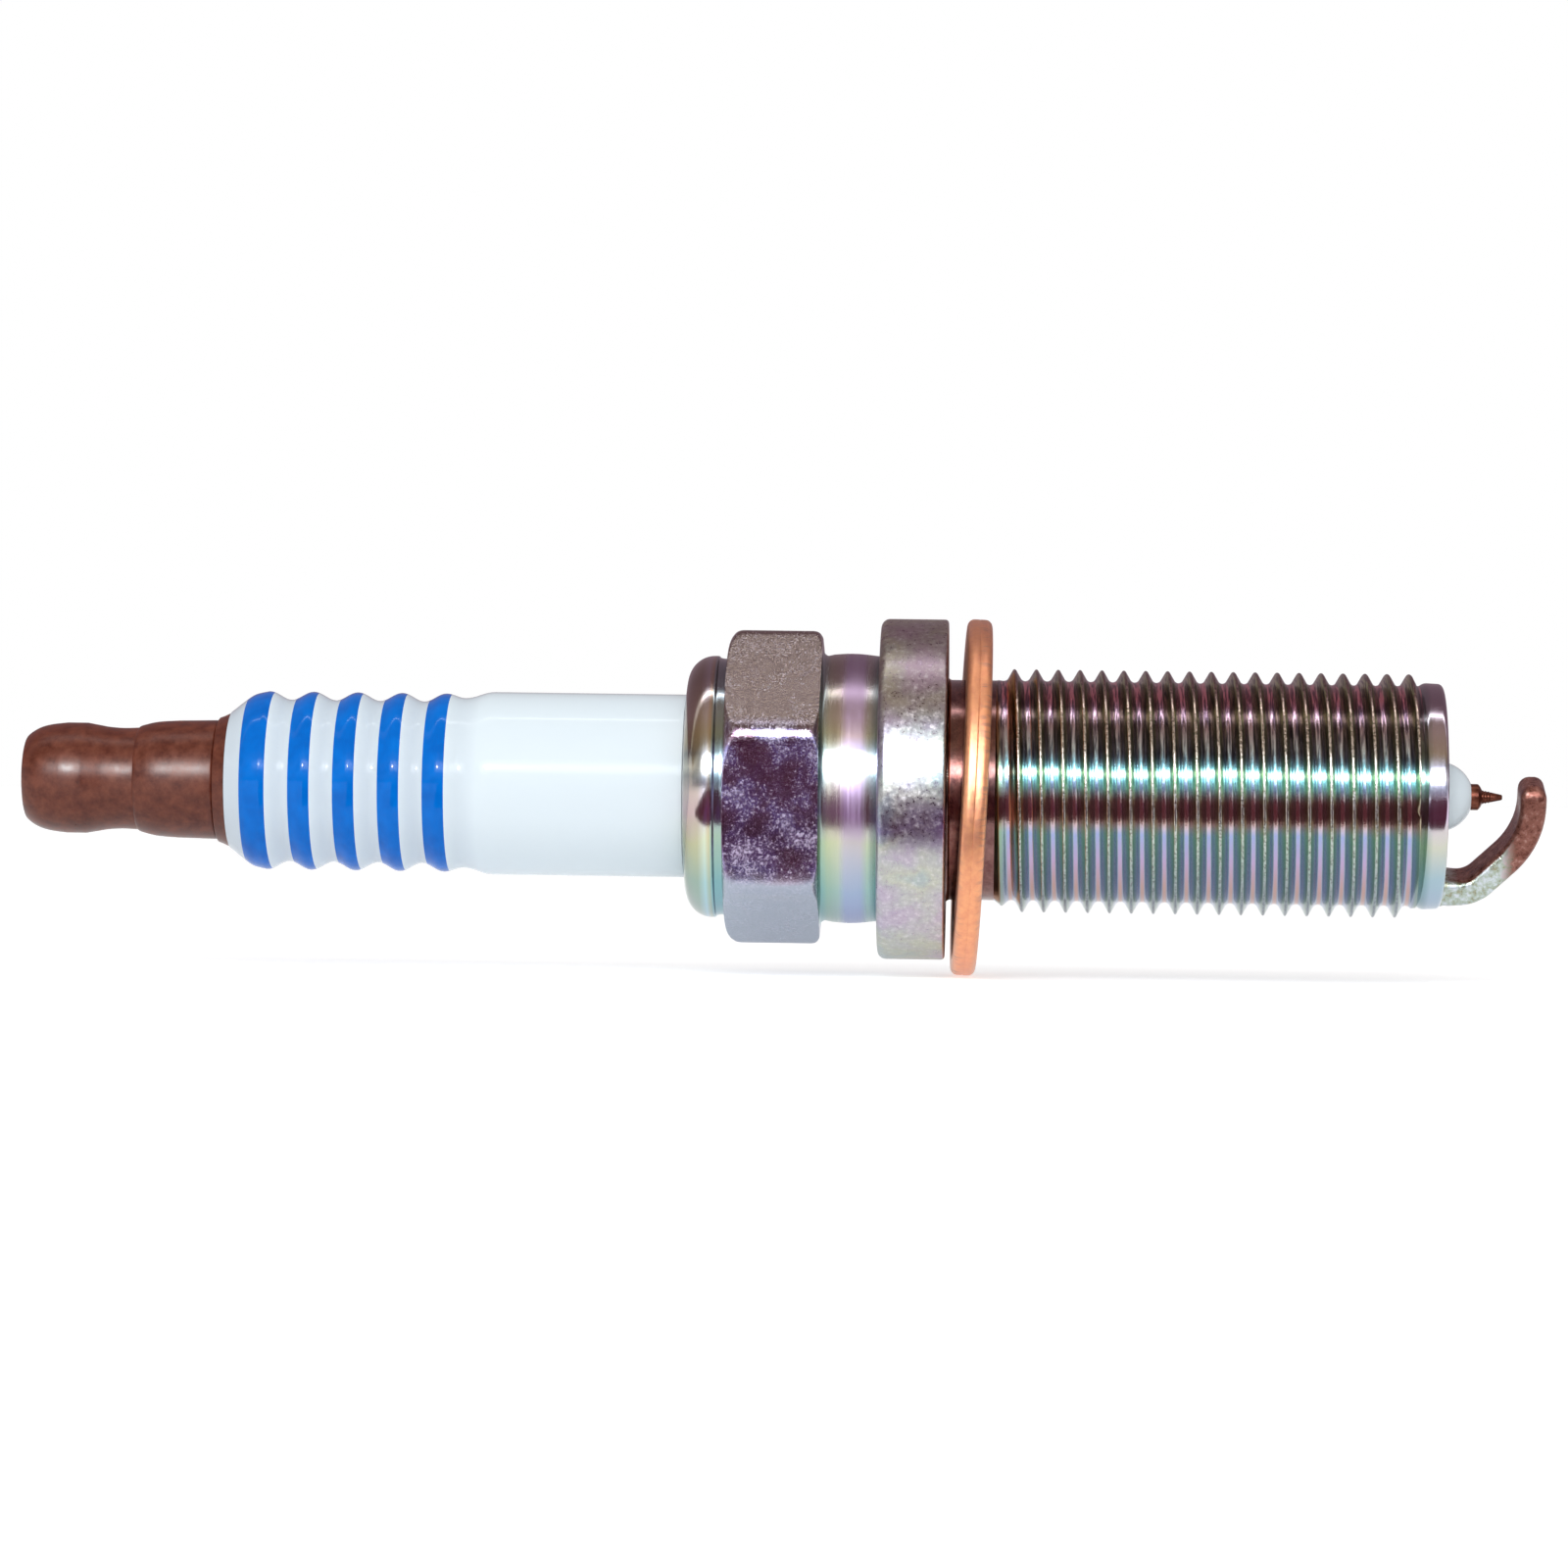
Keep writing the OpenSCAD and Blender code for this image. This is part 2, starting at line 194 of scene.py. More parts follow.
def ease(x0, r0, x1, r1, n=8):
    """An S-shaped blend between two radii."""
    return [
        (x0 + (x1 - x0) * i / n, r0 + (r1 - r0) * (1 - cos(pi * i / n)) / 2)
        for i in range(n + 1)
    ]


def curve(points, start=0, n=6):
    """A smooth curve through given points, whose x counts from start."""
    points = [Vector((start + x, r)) for x, r in points]
    made = []
    for i in range(len(points) - 1):
        a, b = points[max(i - 1, 0)], points[i]
        c, d = points[i + 1], points[min(i + 2, len(points) - 1)]
        for t in (k / n for k in range(n)):
            p = 2 * b + (c - a) * t + (2 * a - 5 * b + 4 * c - d) * t**2
            made.append(tuple(0.5 * (p + (3 * b - a - 3 * c + d) * t**3)))
    return made + [tuple(points[-1])]


# ---- Mesh helpers ----


def line_of(bm, outline, closed):
    """The outline as vertices and edges in the plane above the axis."""
    verts = [bm.verts.new((x * MM, 0, r * MM)) for x, r in outline]
    edges = [bm.edges.new(pair) for pair in zip(verts, verts[1:])]
    if closed:
        edges.append(bm.edges.new((verts[-1], verts[0])))
    return verts + edges


def lathe(outline, closed=True, steps=STEPS):
    """A turned solid. A closed outline runs round a bore, and an open one starts on the axis."""
    bm = bmesh.new()
    bmesh.ops.spin(
        bm,
        geom=line_of(bm, outline, closed),
        cent=CENTRE,
        axis=AXIS,
        dvec=CENTRE,
        angle=2 * pi,
        steps=steps,
        use_merge=True,
    )
    bmesh.ops.remove_doubles(bm, verts=bm.verts, dist=MM * 1e-4)
    bmesh.ops.recalc_face_normals(bm, faces=bm.faces)
    return bm


def moved(bm, matrix):
    bmesh.ops.transform(bm, matrix=matrix, verts=bm.verts)
    return bm


def as_object(bm, name, material):
    """Moves the bmesh into a new object of the scene."""
    mesh = bpy.data.meshes.new(name)
    bm.to_mesh(mesh)
    bm.free()
    mesh.materials.append(material)
    made = bpy.data.objects.new(name, mesh)
    bpy.context.scene.collection.objects.link(made)
    return made


def piece(bm, name, material, slot, *replaced, body="plug", sharp=32):
    """A piece of the plug, smooth except across sharp edges, riding on its body."""
    made = as_object(bm, name, material)
    made.data.shade_smooth()
    made.data.set_sharp_from_angle(angle=radians(sharp))
    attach(made, body)
    if replaced:
        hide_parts(*replaced)
    return made


# ---- Node helpers ----


def linear(code):
    """An sRGB hex colour as the linear colour that a socket takes."""
    parts = [int(code[i : i + 2], 16) / 255 for i in (1, 3, 5)]
    return [c / 12.92 if c <= 0.04045 else ((c + 0.055) / 1.055) ** 2.4 for c in parts] + [1]


def add(tree, kind, sockets=None, stops=None, **settings):
    """Adds a node. sockets gives each input a value, a hex colour or another node's output."""
    made = tree.nodes.new("ShaderNode" + kind)
    for name, value in settings.items():
        setattr(made, name, value)
    for i, (place, code) in enumerate(stops or []):
        elements = made.color_ramp.elements
        element = elements[i] if i < len(elements) else elements.new(place)
        element.position = place
        element.color = linear(code)
    for key, value in (sockets or {}).items():
        if isinstance(value, bpy.types.NodeSocket):
            tree.links.new(value, made.inputs[key])
        else:
            made.inputs[key].default_value = linear(value) if isinstance(value, str) else value
    return made


def result(*args, **settings):
    """The first output of a node that is added."""
    return add(*args, **settings).outputs[0]


def new_material(name, **shader):
    """A material with one Principled shader, its tree, and Object coordinates in millimetres."""
    material = bpy.data.materials.new(name)
    material.use_nodes = True
    tree = material.node_tree
    bsdf = tree.nodes["Principled BSDF"]
    for key, value in shader.items():
        socket = bsdf.inputs[key.replace("_", " ")]
        socket.default_value = linear(value) if isinstance(value, str) else value
    coords = add(tree, "TexCoord").outputs["Object"]
    coords = result(tree, "Mapping", {"Vector": coords, "Scale": (1 / MM,) * 3})
    return material, tree, bsdf, coords


def link(tree, bsdf, **outputs):
    """Links outputs to the shader's inputs by name."""
    for key, output in outputs.items():
        tree.links.new(output, bsdf.inputs[key.replace("_", " ")])


def scaled(tree, value, low, high, start=0.0, end=1.0):
    """Remaps low..high to start..end, and holds it there."""
    sockets = {"Value": value, "From Min": low, "From Max": high, "To Min": start, "To Max": end}
    return result(tree, "MapRange", sockets)


def noise(tree, coords, per_mm, detail=4.0, roughness=0.55, distortion=0.0):
    """Noise with so many spots to the millimetre. The finer ones in them are its detail."""
    sockets = {
        "Vector": coords,
        "Scale": per_mm,
        "Detail": detail,
        "Roughness": roughness,
        "Distortion": distortion,
    }
    return result(tree, "TexNoise", sockets)


def ramp(tree, value, *stops):
    """A colour for each value, between stops that give a value's place and its colour."""
    return result(tree, "ValToRGB", {"Fac": value}, stops=stops)


def mixed(tree, factor, a, b):
    """Colour a where the factor is 0, and b where it is 1."""
    return result(tree, "MixRGB", {"Fac": factor, "Color1": a, "Color2": b})


def multiplied(tree, factor, a, b):
    """Colour a, filtered through colour b as far as the factor says."""
    sockets = {"Fac": factor, "Color1": a, "Color2": b}
    return result(tree, "MixRGB", sockets, blend_type="MULTIPLY")


def maths(tree, operation, *values):
    return result(tree, "Math", dict(enumerate(values)), operation=operation)


def wandering(tree, value, texture, amount):
    """A value moved up and down by a texture, which varies round one half."""
    swing = maths(tree, "MULTIPLY", maths(tree, "SUBTRACT", texture, 0.5), amount)
    return maths(tree, "ADD", value, swing)


def bump(tree, height, strength, distance):
    """Normals for a height that runs over the distance, in millimetres."""
    sockets = {"Height": height, "Strength": strength, "Distance": distance * MM}
    return result(tree, "Bump", sockets)


def about_axis(tree, coords):
    """Along the axis, distance from it, and the turn round it: 0 at the front, half a turn is 1."""
    place = add(tree, "SeparateXYZ", {0: coords}).outputs
    flat = result(tree, "CombineXYZ", {"Y": place["Y"], "Z": place["Z"]})
    radius = add(tree, "VectorMath", {0: flat}, operation="LENGTH").outputs["Value"]
    front = maths(tree, "MULTIPLY", place["Y"], -1.0)
    turn = maths(tree, "DIVIDE", maths(tree, "ARCTAN2", place["Z"], front), pi)
    return place["X"], radius, turn


def tool_marks(tree, x, radius, turn, per_mm, per_half_turn):
    """Noise drawn out round the axis, as a lathe tool or a rolling die leaves it.

    The real marks are too fine to show, so they are drawn 0.05 to 0.1 mm wide.
    """
    sockets = {
        "X": maths(tree, "MULTIPLY", x, per_mm),
        "Y": maths(tree, "MULTIPLY", radius, per_mm),
        "Z": maths(tree, "MULTIPLY", turn, per_half_turn),
    }
    return noise(tree, result(tree, "CombineXYZ", sockets), 1.0)


# ---- Camera, floor and light ----

camera_distance = 323
camera_x = 2.6
view_width = 89.9
view_centre_x = -9.34
view_centre_z = 0.2
camera_roll = 0.8
sensor = 36

scene = bpy.context.scene
scene.view_settings.view_transform = "Standard"
camera_data = bpy.data.cameras.new("camera")
camera_data.sensor_width = sensor
camera_data.lens = sensor * camera_distance / view_width
camera_data.clip_start = 0.01
camera = bpy.data.objects.new("camera", camera_data)
scene.collection.objects.link(camera)
camera_place = Vector((camera_x, -camera_distance, view_centre_z)) * MM
camera_aim = Vector((view_centre_x, 0, view_centre_z)) * MM - camera_place
camera.matrix_world = (
    Matrix.Translation(camera_place)
    @ camera_aim.to_track_quat("-Z", "Y").to_matrix().to_4x4()
    @ Matrix.Rotation(radians(camera_roll), 4, "Z")
)
scene.camera = camera

floor_gap = 0.05
floor_z = cad_box[0][2] / MM - floor_gap
floor_reach = 4000

# Strengths of the floor's and the world's white: as soft light, and as it is seen.
floor_soft = 0.2
floor_seen = 0.56
world_soft = 0.57
world_seen = 1.0


def watched(tree):
    """1 for rays from the camera, a reflection or a refraction, and 0 for soft light."""
    rays = add(tree, "LightPath").outputs
    mirrored = maths(tree, "MAXIMUM", rays["Is Glossy Ray"], rays["Is Transmission Ray"])
    return maths(tree, "MAXIMUM", rays["Is Camera Ray"], mirrored)


def white_laminate():
    """Matt white laminate: the eye sees an even white that only the plug's own shadow dulls."""
    material, tree, bsdf, _ = new_material(
        "white_laminate", Base_Color="#e6e6e6", Roughness=0.6, Emission_Color="#ffffff"
    )
    bsdf.inputs["Specular IOR Level"].default_value = 0.1
    glow = scaled(tree, watched(tree), 0, 1, floor_soft, floor_seen)
    link(tree, bsdf, Emission_Strength=glow)
    return material


def studio_world():
    """White behind the plug for the eye and in reflections, and a softer white as light."""
    world = bpy.data.worlds.new("studio")
    scene.world = world
    world.use_nodes = True
    tree = world.node_tree
    tree.nodes.clear()
    soft = result(tree, "Background", {"Color": "#ffffff", "Strength": world_soft})
    seen = result(tree, "Background", {"Color": "#ffffff", "Strength": world_seen})
    light = result(tree, "MixShader", {0: watched(tree), 1: soft, 2: seen})
    add(tree, "OutputWorld", {"Surface": light})


def unseen(obj):
    """A card that only polished surfaces show."""
    obj.visible_camera = False
    obj.visible_diffuse = False
    obj.visible_transmission = False
    obj.visible_shadow = False


def glowing(name, glow):
    """A material that only gives off light. glow works out its colour and its strength."""
    material = bpy.data.materials.new(name)
    material.use_nodes = True
    tree = material.node_tree
    tree.nodes.clear()
    add(tree, "OutputMaterial", {"Surface": result(tree, "Emission", glow(tree))})
    return material


def cloth(name, code):
    """Dim cloth, the same all over."""
    return glowing(name, lambda tree: {"Color": code, "Strength": 1.0})


def room_colour(tree, turn):
    """From the horizon in front to the one behind: bright, dim and warm, a white strip, dim."""
    return ramp(
        tree,
        turn,
        (0.0, "#6b5a68"),
        (0.05, "#e8eef8"),
        (0.19, "#f2efe8"),
        (0.235, "#b5a48f"),
        (0.46, "#9c8a7e"),
        (0.49, "#ffffff"),
        (0.52, "#ffffff"),
        (0.545, "#8a7478"),
        (1.0, "#93808a"),
    )


# Past its ends the lamp's place is a little darker than the room round it.
lamp_half_len = 300
lamp_fade_end = 500
lamp_strength = 11.0
lamp_beyond = -0.3


def room_strength(tree, x, turn):
    """A long lamp above the camera and a thin one overhead, which both fade out along x."""
    lamp = ramp(
        tree,
        turn,
        (0.03, "#000000"),
        (0.07, "#404040"),
        (0.1, "#ffffff"),
        (0.128, "#ffffff"),
        (0.165, "#404040"),
        (0.21, "#000000"),
        (0.494, "#000000"),
        (0.503, "#ffffff"),
        (0.512, "#000000"),
    )
    ends = (lamp_half_len * MM, lamp_fade_end * MM, lamp_strength, lamp_beyond)
    middle = scaled(tree, maths(tree, "ABSOLUTE", x), *ends)
    return maths(tree, "ADD", 1.0, maths(tree, "MULTIPLY", lamp, middle))


def room_glow(tree):
    """The room's light, from Object coordinates in metres."""
    x, _, turn = about_axis(tree, add(tree, "TexCoord").outputs["Object"])
    return {"Color": room_colour(tree, turn), "Strength": room_strength(tree, x, turn)}


room_r = 700
room_half_len = 2500


def room():
    """A long arch round the plug's axis, from just under the horizon in front to the one behind."""
    bm = bmesh.new()
    ends = [bm.verts.new((x * MM, -room_r * MM, 0)) for x in (-room_half_len, room_half_len)]
    line = ends + [bm.edges.new(ends)]
    bmesh.ops.spin(bm, geom=line, cent=CENTRE, axis=AXIS, dvec=CENTRE, angle=-pi, steps=90)
    return as_object(bm, "room_arch", glowing("dim_room", room_glow))


def flat_card(name, x_range, y_range, z, material, near_x0=None):
    """A level card. near_x0 draws in the left corner that is nearest to the plug."""
    (x0, x1), (y0, y1) = x_range, y_range
    bm = bmesh.new()
    bmesh.ops.create_grid(bm, x_segments=1, y_segments=1, size=0.5)
    moved(bm, Matrix.Diagonal(((x1 - x0) * MM, (y1 - y0) * MM, 1, 1)))
    moved(bm, Matrix.Translation(Vector(((x0 + x1) / 2, (y0 + y1) / 2, z)) * MM))
    if near_x0 is not None:
        corner = min(bm.verts, key=lambda v: v.co.x - v.co.y)
        corner.co.x = near_x0 * MM
    return as_object(bm, name, material)


lamp_target = Vector((-10, 0, 0))


def square_lamp(name, place, size, power):
    """A square area lamp that points at the plug."""
    data = bpy.data.lights.new(name, "AREA")
    data.size = size * MM
    data.energy = power
    made = bpy.data.objects.new(name, data)
    made.location = Vector(place) * MM
    aim = lamp_target - Vector(place)
    made.rotation_euler = aim.to_track_quat("-Z", "Y").to_euler()
    scene.collection.objects.link(made)
    return made


# Cloth laid on the floor in front, which the metal shows as its dark and violet bands.
cloth_t = 0.2
cloth_near_y = -19
dark_x = (-130, 400)
dark_y = (-room_r, cloth_near_y)
dark_near_x0 = -40
violet_x = (hex_x0 - 7, hex_x1)
violet_y = (-110, cloth_near_y)
floor_span = (-floor_reach, floor_reach)

studio_world()
flat_card("floor", floor_span, floor_span, floor_z, white_laminate())
unseen(room())
dark_cloth = cloth("dark_cloth", "#582d3a")
violet_cloth = cloth("violet_cloth", "#6a3c62")
unseen(flat_card("dark_card", dark_x, dark_y, floor_z + cloth_t, dark_cloth, dark_near_x0))
unseen(flat_card("violet_card", violet_x, violet_y, floor_z + 2 * cloth_t, violet_cloth))
front_lamp = square_lamp("front_lamp", (-60, -420, 330), 300, 1.2)
front_lamp.visible_glossy = False
glint_lamp = square_lamp("glint_lamp", (-150, -640, 238), 30, 3.5)
glint_lamp.visible_diffuse = False

# ---- Materials ----


def painted_light_height(tree, turn, coords, wander):
    """Height over the axis, -1 below to 1 above, wandering a little: the plates' tints follow it as
    painted light and shade.
    """
    height = maths(tree, "SINE", maths(tree, "MULTIPLY", turn, pi))
    return wandering(tree, height, noise(tree, coords, 0.3, 2.0, 0.5), wander)


def polished_plate(name, along, *tints, satin=()):
    """Zinc plate under a clear film, tinted by height as painted light and shade: blue to straw
    below, lilac in front, pale and darker bands about the lamp's highlight, and warm grey above.

    tints are stops along the piece that tint it further, partly where the metal ran hot or was
    worked and partly as painted reflection and shade.
    satin stops are white where it is frosted. The plate's own grain is drawn 0.14 mm coarse.
    """
    material, tree, bsdf, coords = new_material(name, Metallic=1.0)
    x, radius, turn = about_axis(tree, coords)
    marks = tool_marks(tree, x, radius, turn, 9.0, 2.0)
    grain = noise(tree, coords, 7.0, 3.0, 0.6)
    # Painted light and shade by height: pale and darker bands about the highlight, lilac just below
    # level, warm grey above.
    film = ramp(
        tree,
        scaled(tree, painted_light_height(tree, turn, coords, 0.25), -1, 1),
        (0.0, "#a7bfcc"),
        (0.13, "#a9c8cb"),
        (0.3, "#ced6bf"),
        (0.4, "#dccce0"),
        (0.48, "#dcd4e0"),
        (0.54, "#aeb2bc"),
        (0.58, "#dce0e4"),
        (0.64, "#9ca0aa"),
        (0.7, "#c2baae"),
        (0.78, "#d4cad0"),
        (0.92, "#b0a4ac"),
    )
    tint = ramp(tree, scaled(tree, x, *along), *tints)
    gloss = scaled(tree, marks, 0.3, 0.7, 0.1, 0.19)
    if satin:
        frosted = ramp(tree, scaled(tree, x, *along), *satin)
        gloss = maths(tree, "ADD", gloss, maths(tree, "MULTIPLY", frosted, 0.2))
    link(
        tree,
        bsdf,
        Base_Color=multiplied(tree, 0.75, film, tint),
        Roughness=gloss,
        Normal=bump(tree, maths(tree, "ADD", marks, grain), 0.1, 0.02),
    )
    return material


def satin_plate():
    """Plate on a barrelled surface: near neutral, with a violet tint painted low in front and
    warmer tints above, as painted reflection.

    Its speckled satin grain, drawn 0.3 mm coarse, spreads highlights.
    """
    material, tree, bsdf, coords = new_material("satin_zinc_plate", Metallic=1.0)
    turn = about_axis(tree, coords)[2]
    speckle = noise(tree, coords, 3.0, 6.0, 0.75)
    drift = noise(tree, coords, 0.35, 3.0, 0.5)
    film = ramp(
        tree,
        drift,
        (0.36, "#b6acbc"),
        (0.48, "#b4b6b6"),
        (0.58, "#b8bcae"),
        (0.68, "#a9b6b4"),
    )
    # Painted reflection by height: violet where the dark cloth shows, a little darker about the
    # highlight, warmer above.
    painted_reflection_tint = ramp(
        tree,
        scaled(tree, painted_light_height(tree, turn, coords, 0.3), -1, 1),
        (0.33, "#ffffff"),
        (0.4, "#d0b8ea"),
        (0.47, "#e0dce8"),
        (0.53, "#ccd2d8"),
        (0.66, "#ccd2d8"),
        (0.75, "#dccfd4"),
        (0.88, "#e8dcd4"),
    )
    film = multiplied(tree, 1.0, film, painted_reflection_tint)
    dull = mixed(tree, scaled(tree, speckle, 0.38, 0.5, 0.35, 0.0), film, "#94849c")
    link(
        tree,
        bsdf,
        Base_Color=mixed(tree, scaled(tree, speckle, 0.52, 0.7, 0.0, 0.6), dull, "#e4e0e6"),
        Roughness=scaled(tree, speckle, 0.35, 0.65, 0.25, 0.42),
        Normal=bump(tree, speckle, 0.2, 0.03),
    )
    return material


# The front flat's painted lilac tint is centred this far below level, where half a turn is 1.
front_tint_turn = 0.03


def drawn_plate():
    """Plate on the drawn flats, frosted by handling, speckled and scratched.

    Its tints are painted light and shade, by height and by flat: the flat in front, a little below
    level, is painted a clear lilac and shows its scuffs more; the top flat is painted a darker
    taupe, and the lower ones blue-grey.
    """
    material, tree, bsdf, coords = new_material("scuffed_zinc_plate", Metallic=1.0)
    haze = noise(tree, coords, 0.5, 3.0, 0.5)
    speckle = noise(tree, coords, 5.5, 8.0, 0.8, 0.2)
    skewed = {"Vector": coords, "Rotation": (0.5, 0.4, 0.9), "Scale": (6, 0.9, 0.9)}
    skewed = result(tree, "Mapping", skewed)
    lines = maths(tree, "COMPARE", noise(tree, skewed, 1.0, 3.0, 0.6), 0.5, 0.009)
    grain = noise(tree, coords, 11.0, 3.0, 0.7)
    turn = about_axis(tree, coords)[2]
    # Painted light by height: blue-grey low down, mauve below level, white about level, a darker
    # taupe on top.
    film = ramp(
        tree,
        scaled(tree, painted_light_height(tree, turn, coords, 0.2), -1, 1),
        (0.12, "#98a2b2"),
        (0.2, "#a0a6b4"),
        (0.25, "#bc9cb0"),
        (0.34, "#c0a2b6"),
        (0.42, "#ffffff"),
        (0.62, "#ffffff"),
        (0.72, "#9c8f88"),
    )
    clear = ramp(
        tree,
        haze,
        (0.36, "#9c8094"),
        (0.48, "#a492b4"),
        (0.56, "#aca6e0"),
        (0.66, "#c0c0ec"),
    )
    # The flat that faces the front takes a painted lilac tint, and its scuffs show more.
    from_front = maths(tree, "ABSOLUTE", maths(tree, "ADD", turn, front_tint_turn))
    front = scaled(tree, from_front, 0.15, 0.18, 1.0, 0.0)
    film = multiplied(tree, front, film, clear)
    rubbed = scaled(tree, wandering(tree, speckle, haze, 0.25), 0.51, 0.61)
    worn = maths(tree, "MAXIMUM", rubbed, maths(tree, "MULTIPLY", lines, 0.6))
    shown = maths(tree, "MULTIPLY", worn, scaled(tree, front, 0, 1, 0.3, 0.8))
    frost = scaled(tree, haze, 0.45, 0.65, 0.11, 0.2)
    link(
        tree,
        bsdf,
        Base_Color=mixed(tree, shown, film, "#e6e2f4"),
        Roughness=maths(tree, "ADD", frost, maths(tree, "MULTIPLY", worn, 0.16)),
        Normal=bump(tree, maths(tree, "ADD", speckle, grain), 0.34, 0.04),
    )
    return material


# Tints by height, from the bottom of the plug, 0, to its top, 1: painted light, pale where the
# lamp's highlight falls, and darker and warmer above.
root_tints_painted_light = (
    (0.07, "#bc9c98"),
    (0.19, "#b8a2c4"),
    (0.31, "#9aa6d0"),
    (0.37, "#dec0b8"),
    (0.46, "#dec0b8"),
    (0.52, "#8094ac"),
    (0.565, "#8098b4"),
    (0.588, "#b8c8dc"),
    (0.61, "#608894"),
    (0.64, "#68909c"),
    (0.7, "#ccdcec"),
    (0.8, "#c8b0be"),
    (0.87, "#ccaac0"),
    (0.92, "#dc949e"),
)
flank_tints_painted_light = (
    (0.07, "#909cb6"),
    (0.31, "#94aab0"),
    (0.37, "#b8a2a2"),
    (0.46, "#b8a2a2"),
    (0.52, "#b0cccc"),
    (0.56, "#90b4b8"),
    (0.584, "#c0d0d0"),
    (0.61, "#7e9ca2"),
    (0.68, "#94909c"),
)
# Above these heights the two flanks of a ridge are painted different tints, maroon and olive, and
# the roots painted wider: painted reflection of the dim room above.
above_from = 0.68
above_to = 0.84
front_flank_painted_above = "#987c82"
back_flank_painted_above = "#b6b89e"
crest_wear_depth = 0.07
# Worn crests, tinted by height as painted light: palest where the lamp's highlight falls, darker at
# the top.
crest_wear_painted_light = (
    (0.05, "#98a0ac"),
    (0.25, "#b6c0bc"),
    (0.6, "#f4f4f0"),
    (0.85, "#e2ccc0"),
    (0.95, "#987e7c"),
)


def thread_plate():
    """The plate in a rolled thread: clear roots, tinted flanks, and pale bruised crests.

    Light leaves a groove after three reflections, so the flanks' own tints are pale. Their tints by
    height are painted light: a pale band where the lamp's highlight falls, teal about it, and
    maroon and olive above. The bruises are drawn 0.14 mm wide, on crests of 0.19 mm.
    """
    material, tree, bsdf, coords = new_material("zinc_plated_thread", Metallic=1.0)
    x, radius, turn = about_axis(tree, coords)
    pitches = maths(tree, "DIVIDE", maths(tree, "SUBTRACT", x, top_crest_x), thread_pitch)
    lead = maths(tree, "MULTIPLY", maths(tree, "SUBTRACT", turn, 0.5), 0.5)
    across = maths(tree, "FRACT", maths(tree, "ADD", pitches, lead))
    level = scaled(tree, painted_light_height(tree, turn, coords, 0.1), -1, 1)
    above = mixed(tree, scaled(tree, across, 0.44, 0.56), front_flank_painted_above, back_flank_painted_above)
    raised = scaled(tree, level, above_from, above_to)
    film = mixed(tree, raised, ramp(tree, level, *flank_tints_painted_light), above)
    from_root = maths(tree, "ABSOLUTE", maths(tree, "SUBTRACT", across, 0.5))
    film = multiplied(tree, scaled(tree, from_root, 0.22, 0.36), film, "#f2ffd6")
    root_width = scaled(tree, level, above_from, above_to, 0, 0.06)
    beside_root = maths(tree, "SUBTRACT", from_root, root_width)
    film = mixed(tree, scaled(tree, beside_root, 0.05, 0.13), ramp(tree, level, *root_tints_painted_light), film)
    # The rolling streaks darken only the part above the highlight, as painted shade.
    rolled = tool_marks(tree, x, radius, turn, 9.0, 14.0)
    streaks = ramp(tree, rolled, (0.4, "#84808c"), (0.56, "#ffffff"))
    film = multiplied(tree, scaled(tree, level, 0.6, 0.66), film, streaks)
    bruises = noise(tree, coords, 7.0, 5.0, 0.75)
    reach = wandering(tree, radius, bruises, 0.5)
    worn = scaled(tree, reach, thread_crest_r - crest_wear_depth, thread_crest_r)
    nicks = noise(tree, coords, 8.0, 3.0, 0.7)
    glints = ramp(tree, nicks, (0.4, "#78726c"), (0.54, "#ffffff"))
    worn_crest_and_painted_light = multiplied(tree, 0.8, ramp(tree, level, *crest_wear_painted_light), glints)
    marks = tool_marks(tree, x, radius, turn, 18.0, 4.0)
    link(
        tree,
        bsdf,
        Base_Color=mixed(tree, worn, film, worn_crest_and_painted_light),
        Roughness=scaled(tree, worn, 0, 1, 0.15, 0.26),
        Normal=bump(tree, maths(tree, "ADD", marks, bruises), 0.3, 0.016),
    )
    return material


def porcelain():
    """Glazed alumina porcelain, cool white, with a blue band fired on to each rib.

    The glaze is painted a little greyer between the ribs, as painted shade. The nose, past the
    seat, is pale all over.
    """
    material, tree, bsdf, coords = new_material("glazed_alumina", Roughness=0.05, IOR=1.5)
    bsdf.inputs["Specular IOR Level"].default_value = 0.14
    x, radius, _ = about_axis(tree, coords)
    bands = 0.0
    for i in range(rib_count):
        crest = first_rib_x + i * rib_pitch
        back = crest - (first_band_back if i == 0 else band_back)
        front = crest + band_front
        inside = maths(tree, "COMPARE", x, (back + front) / 2, (front - back) / 2)
        bands = maths(tree, "ADD", bands, inside)
    mottle = noise(tree, coords, 0.8, 2.0)
    blue = ramp(tree, mottle, (0.3, "#0068ca"), (0.7, "#0076dc"))
    # Painted shade: the glaze is greyer in the valleys between the ribs.
    raised = scaled(tree, radius, rib_valley_r, rib_crest_r)
    pale = maths(tree, "MAXIMUM", raised, scaled(tree, x, 0, 1))
    glaze = mixed(tree, pale, "#d6e2ec", "#e9f5fc")
    link(tree, bsdf, Base_Color=mixed(tree, bands, glaze, blue))
    return material


def browned(name, dark, light, roughness, metallic, specular=0.5):
    """Metal browned by heat and handling, or darkened as painted shade: a brown skin mottled over
    0.8 mm, with a soft sheen.
    """
    material, tree, bsdf, coords = new_material(name, Metallic=metallic)
    bsdf.inputs["Specular IOR Level"].default_value = specular
    blotches = noise(tree, coords, 1.3, 6.0, 0.7)
    link(
        tree,
        bsdf,
        Base_Color=ramp(tree, blotches, (0.36, dark), (0.64, light)),
        Roughness=scaled(tree, blotches, 0.3, 0.7, roughness - 0.06, roughness + 0.08),
        Normal=bump(tree, blotches, 0.25, 0.04),
    )
    return material


def facing(tree, direction):
    """How far the surface faces a fixed direction of the plug, from -1 to 1."""
    normal = add(tree, "TexCoord").outputs["Normal"]
    product = add(tree, "VectorMath", {0: normal, 1: direction}, operation="DOT_PRODUCT")
    return product.outputs["Value"]


# The plating burns away between these two places.
plating_x0 = 31.7
plating_x1 = 32.4


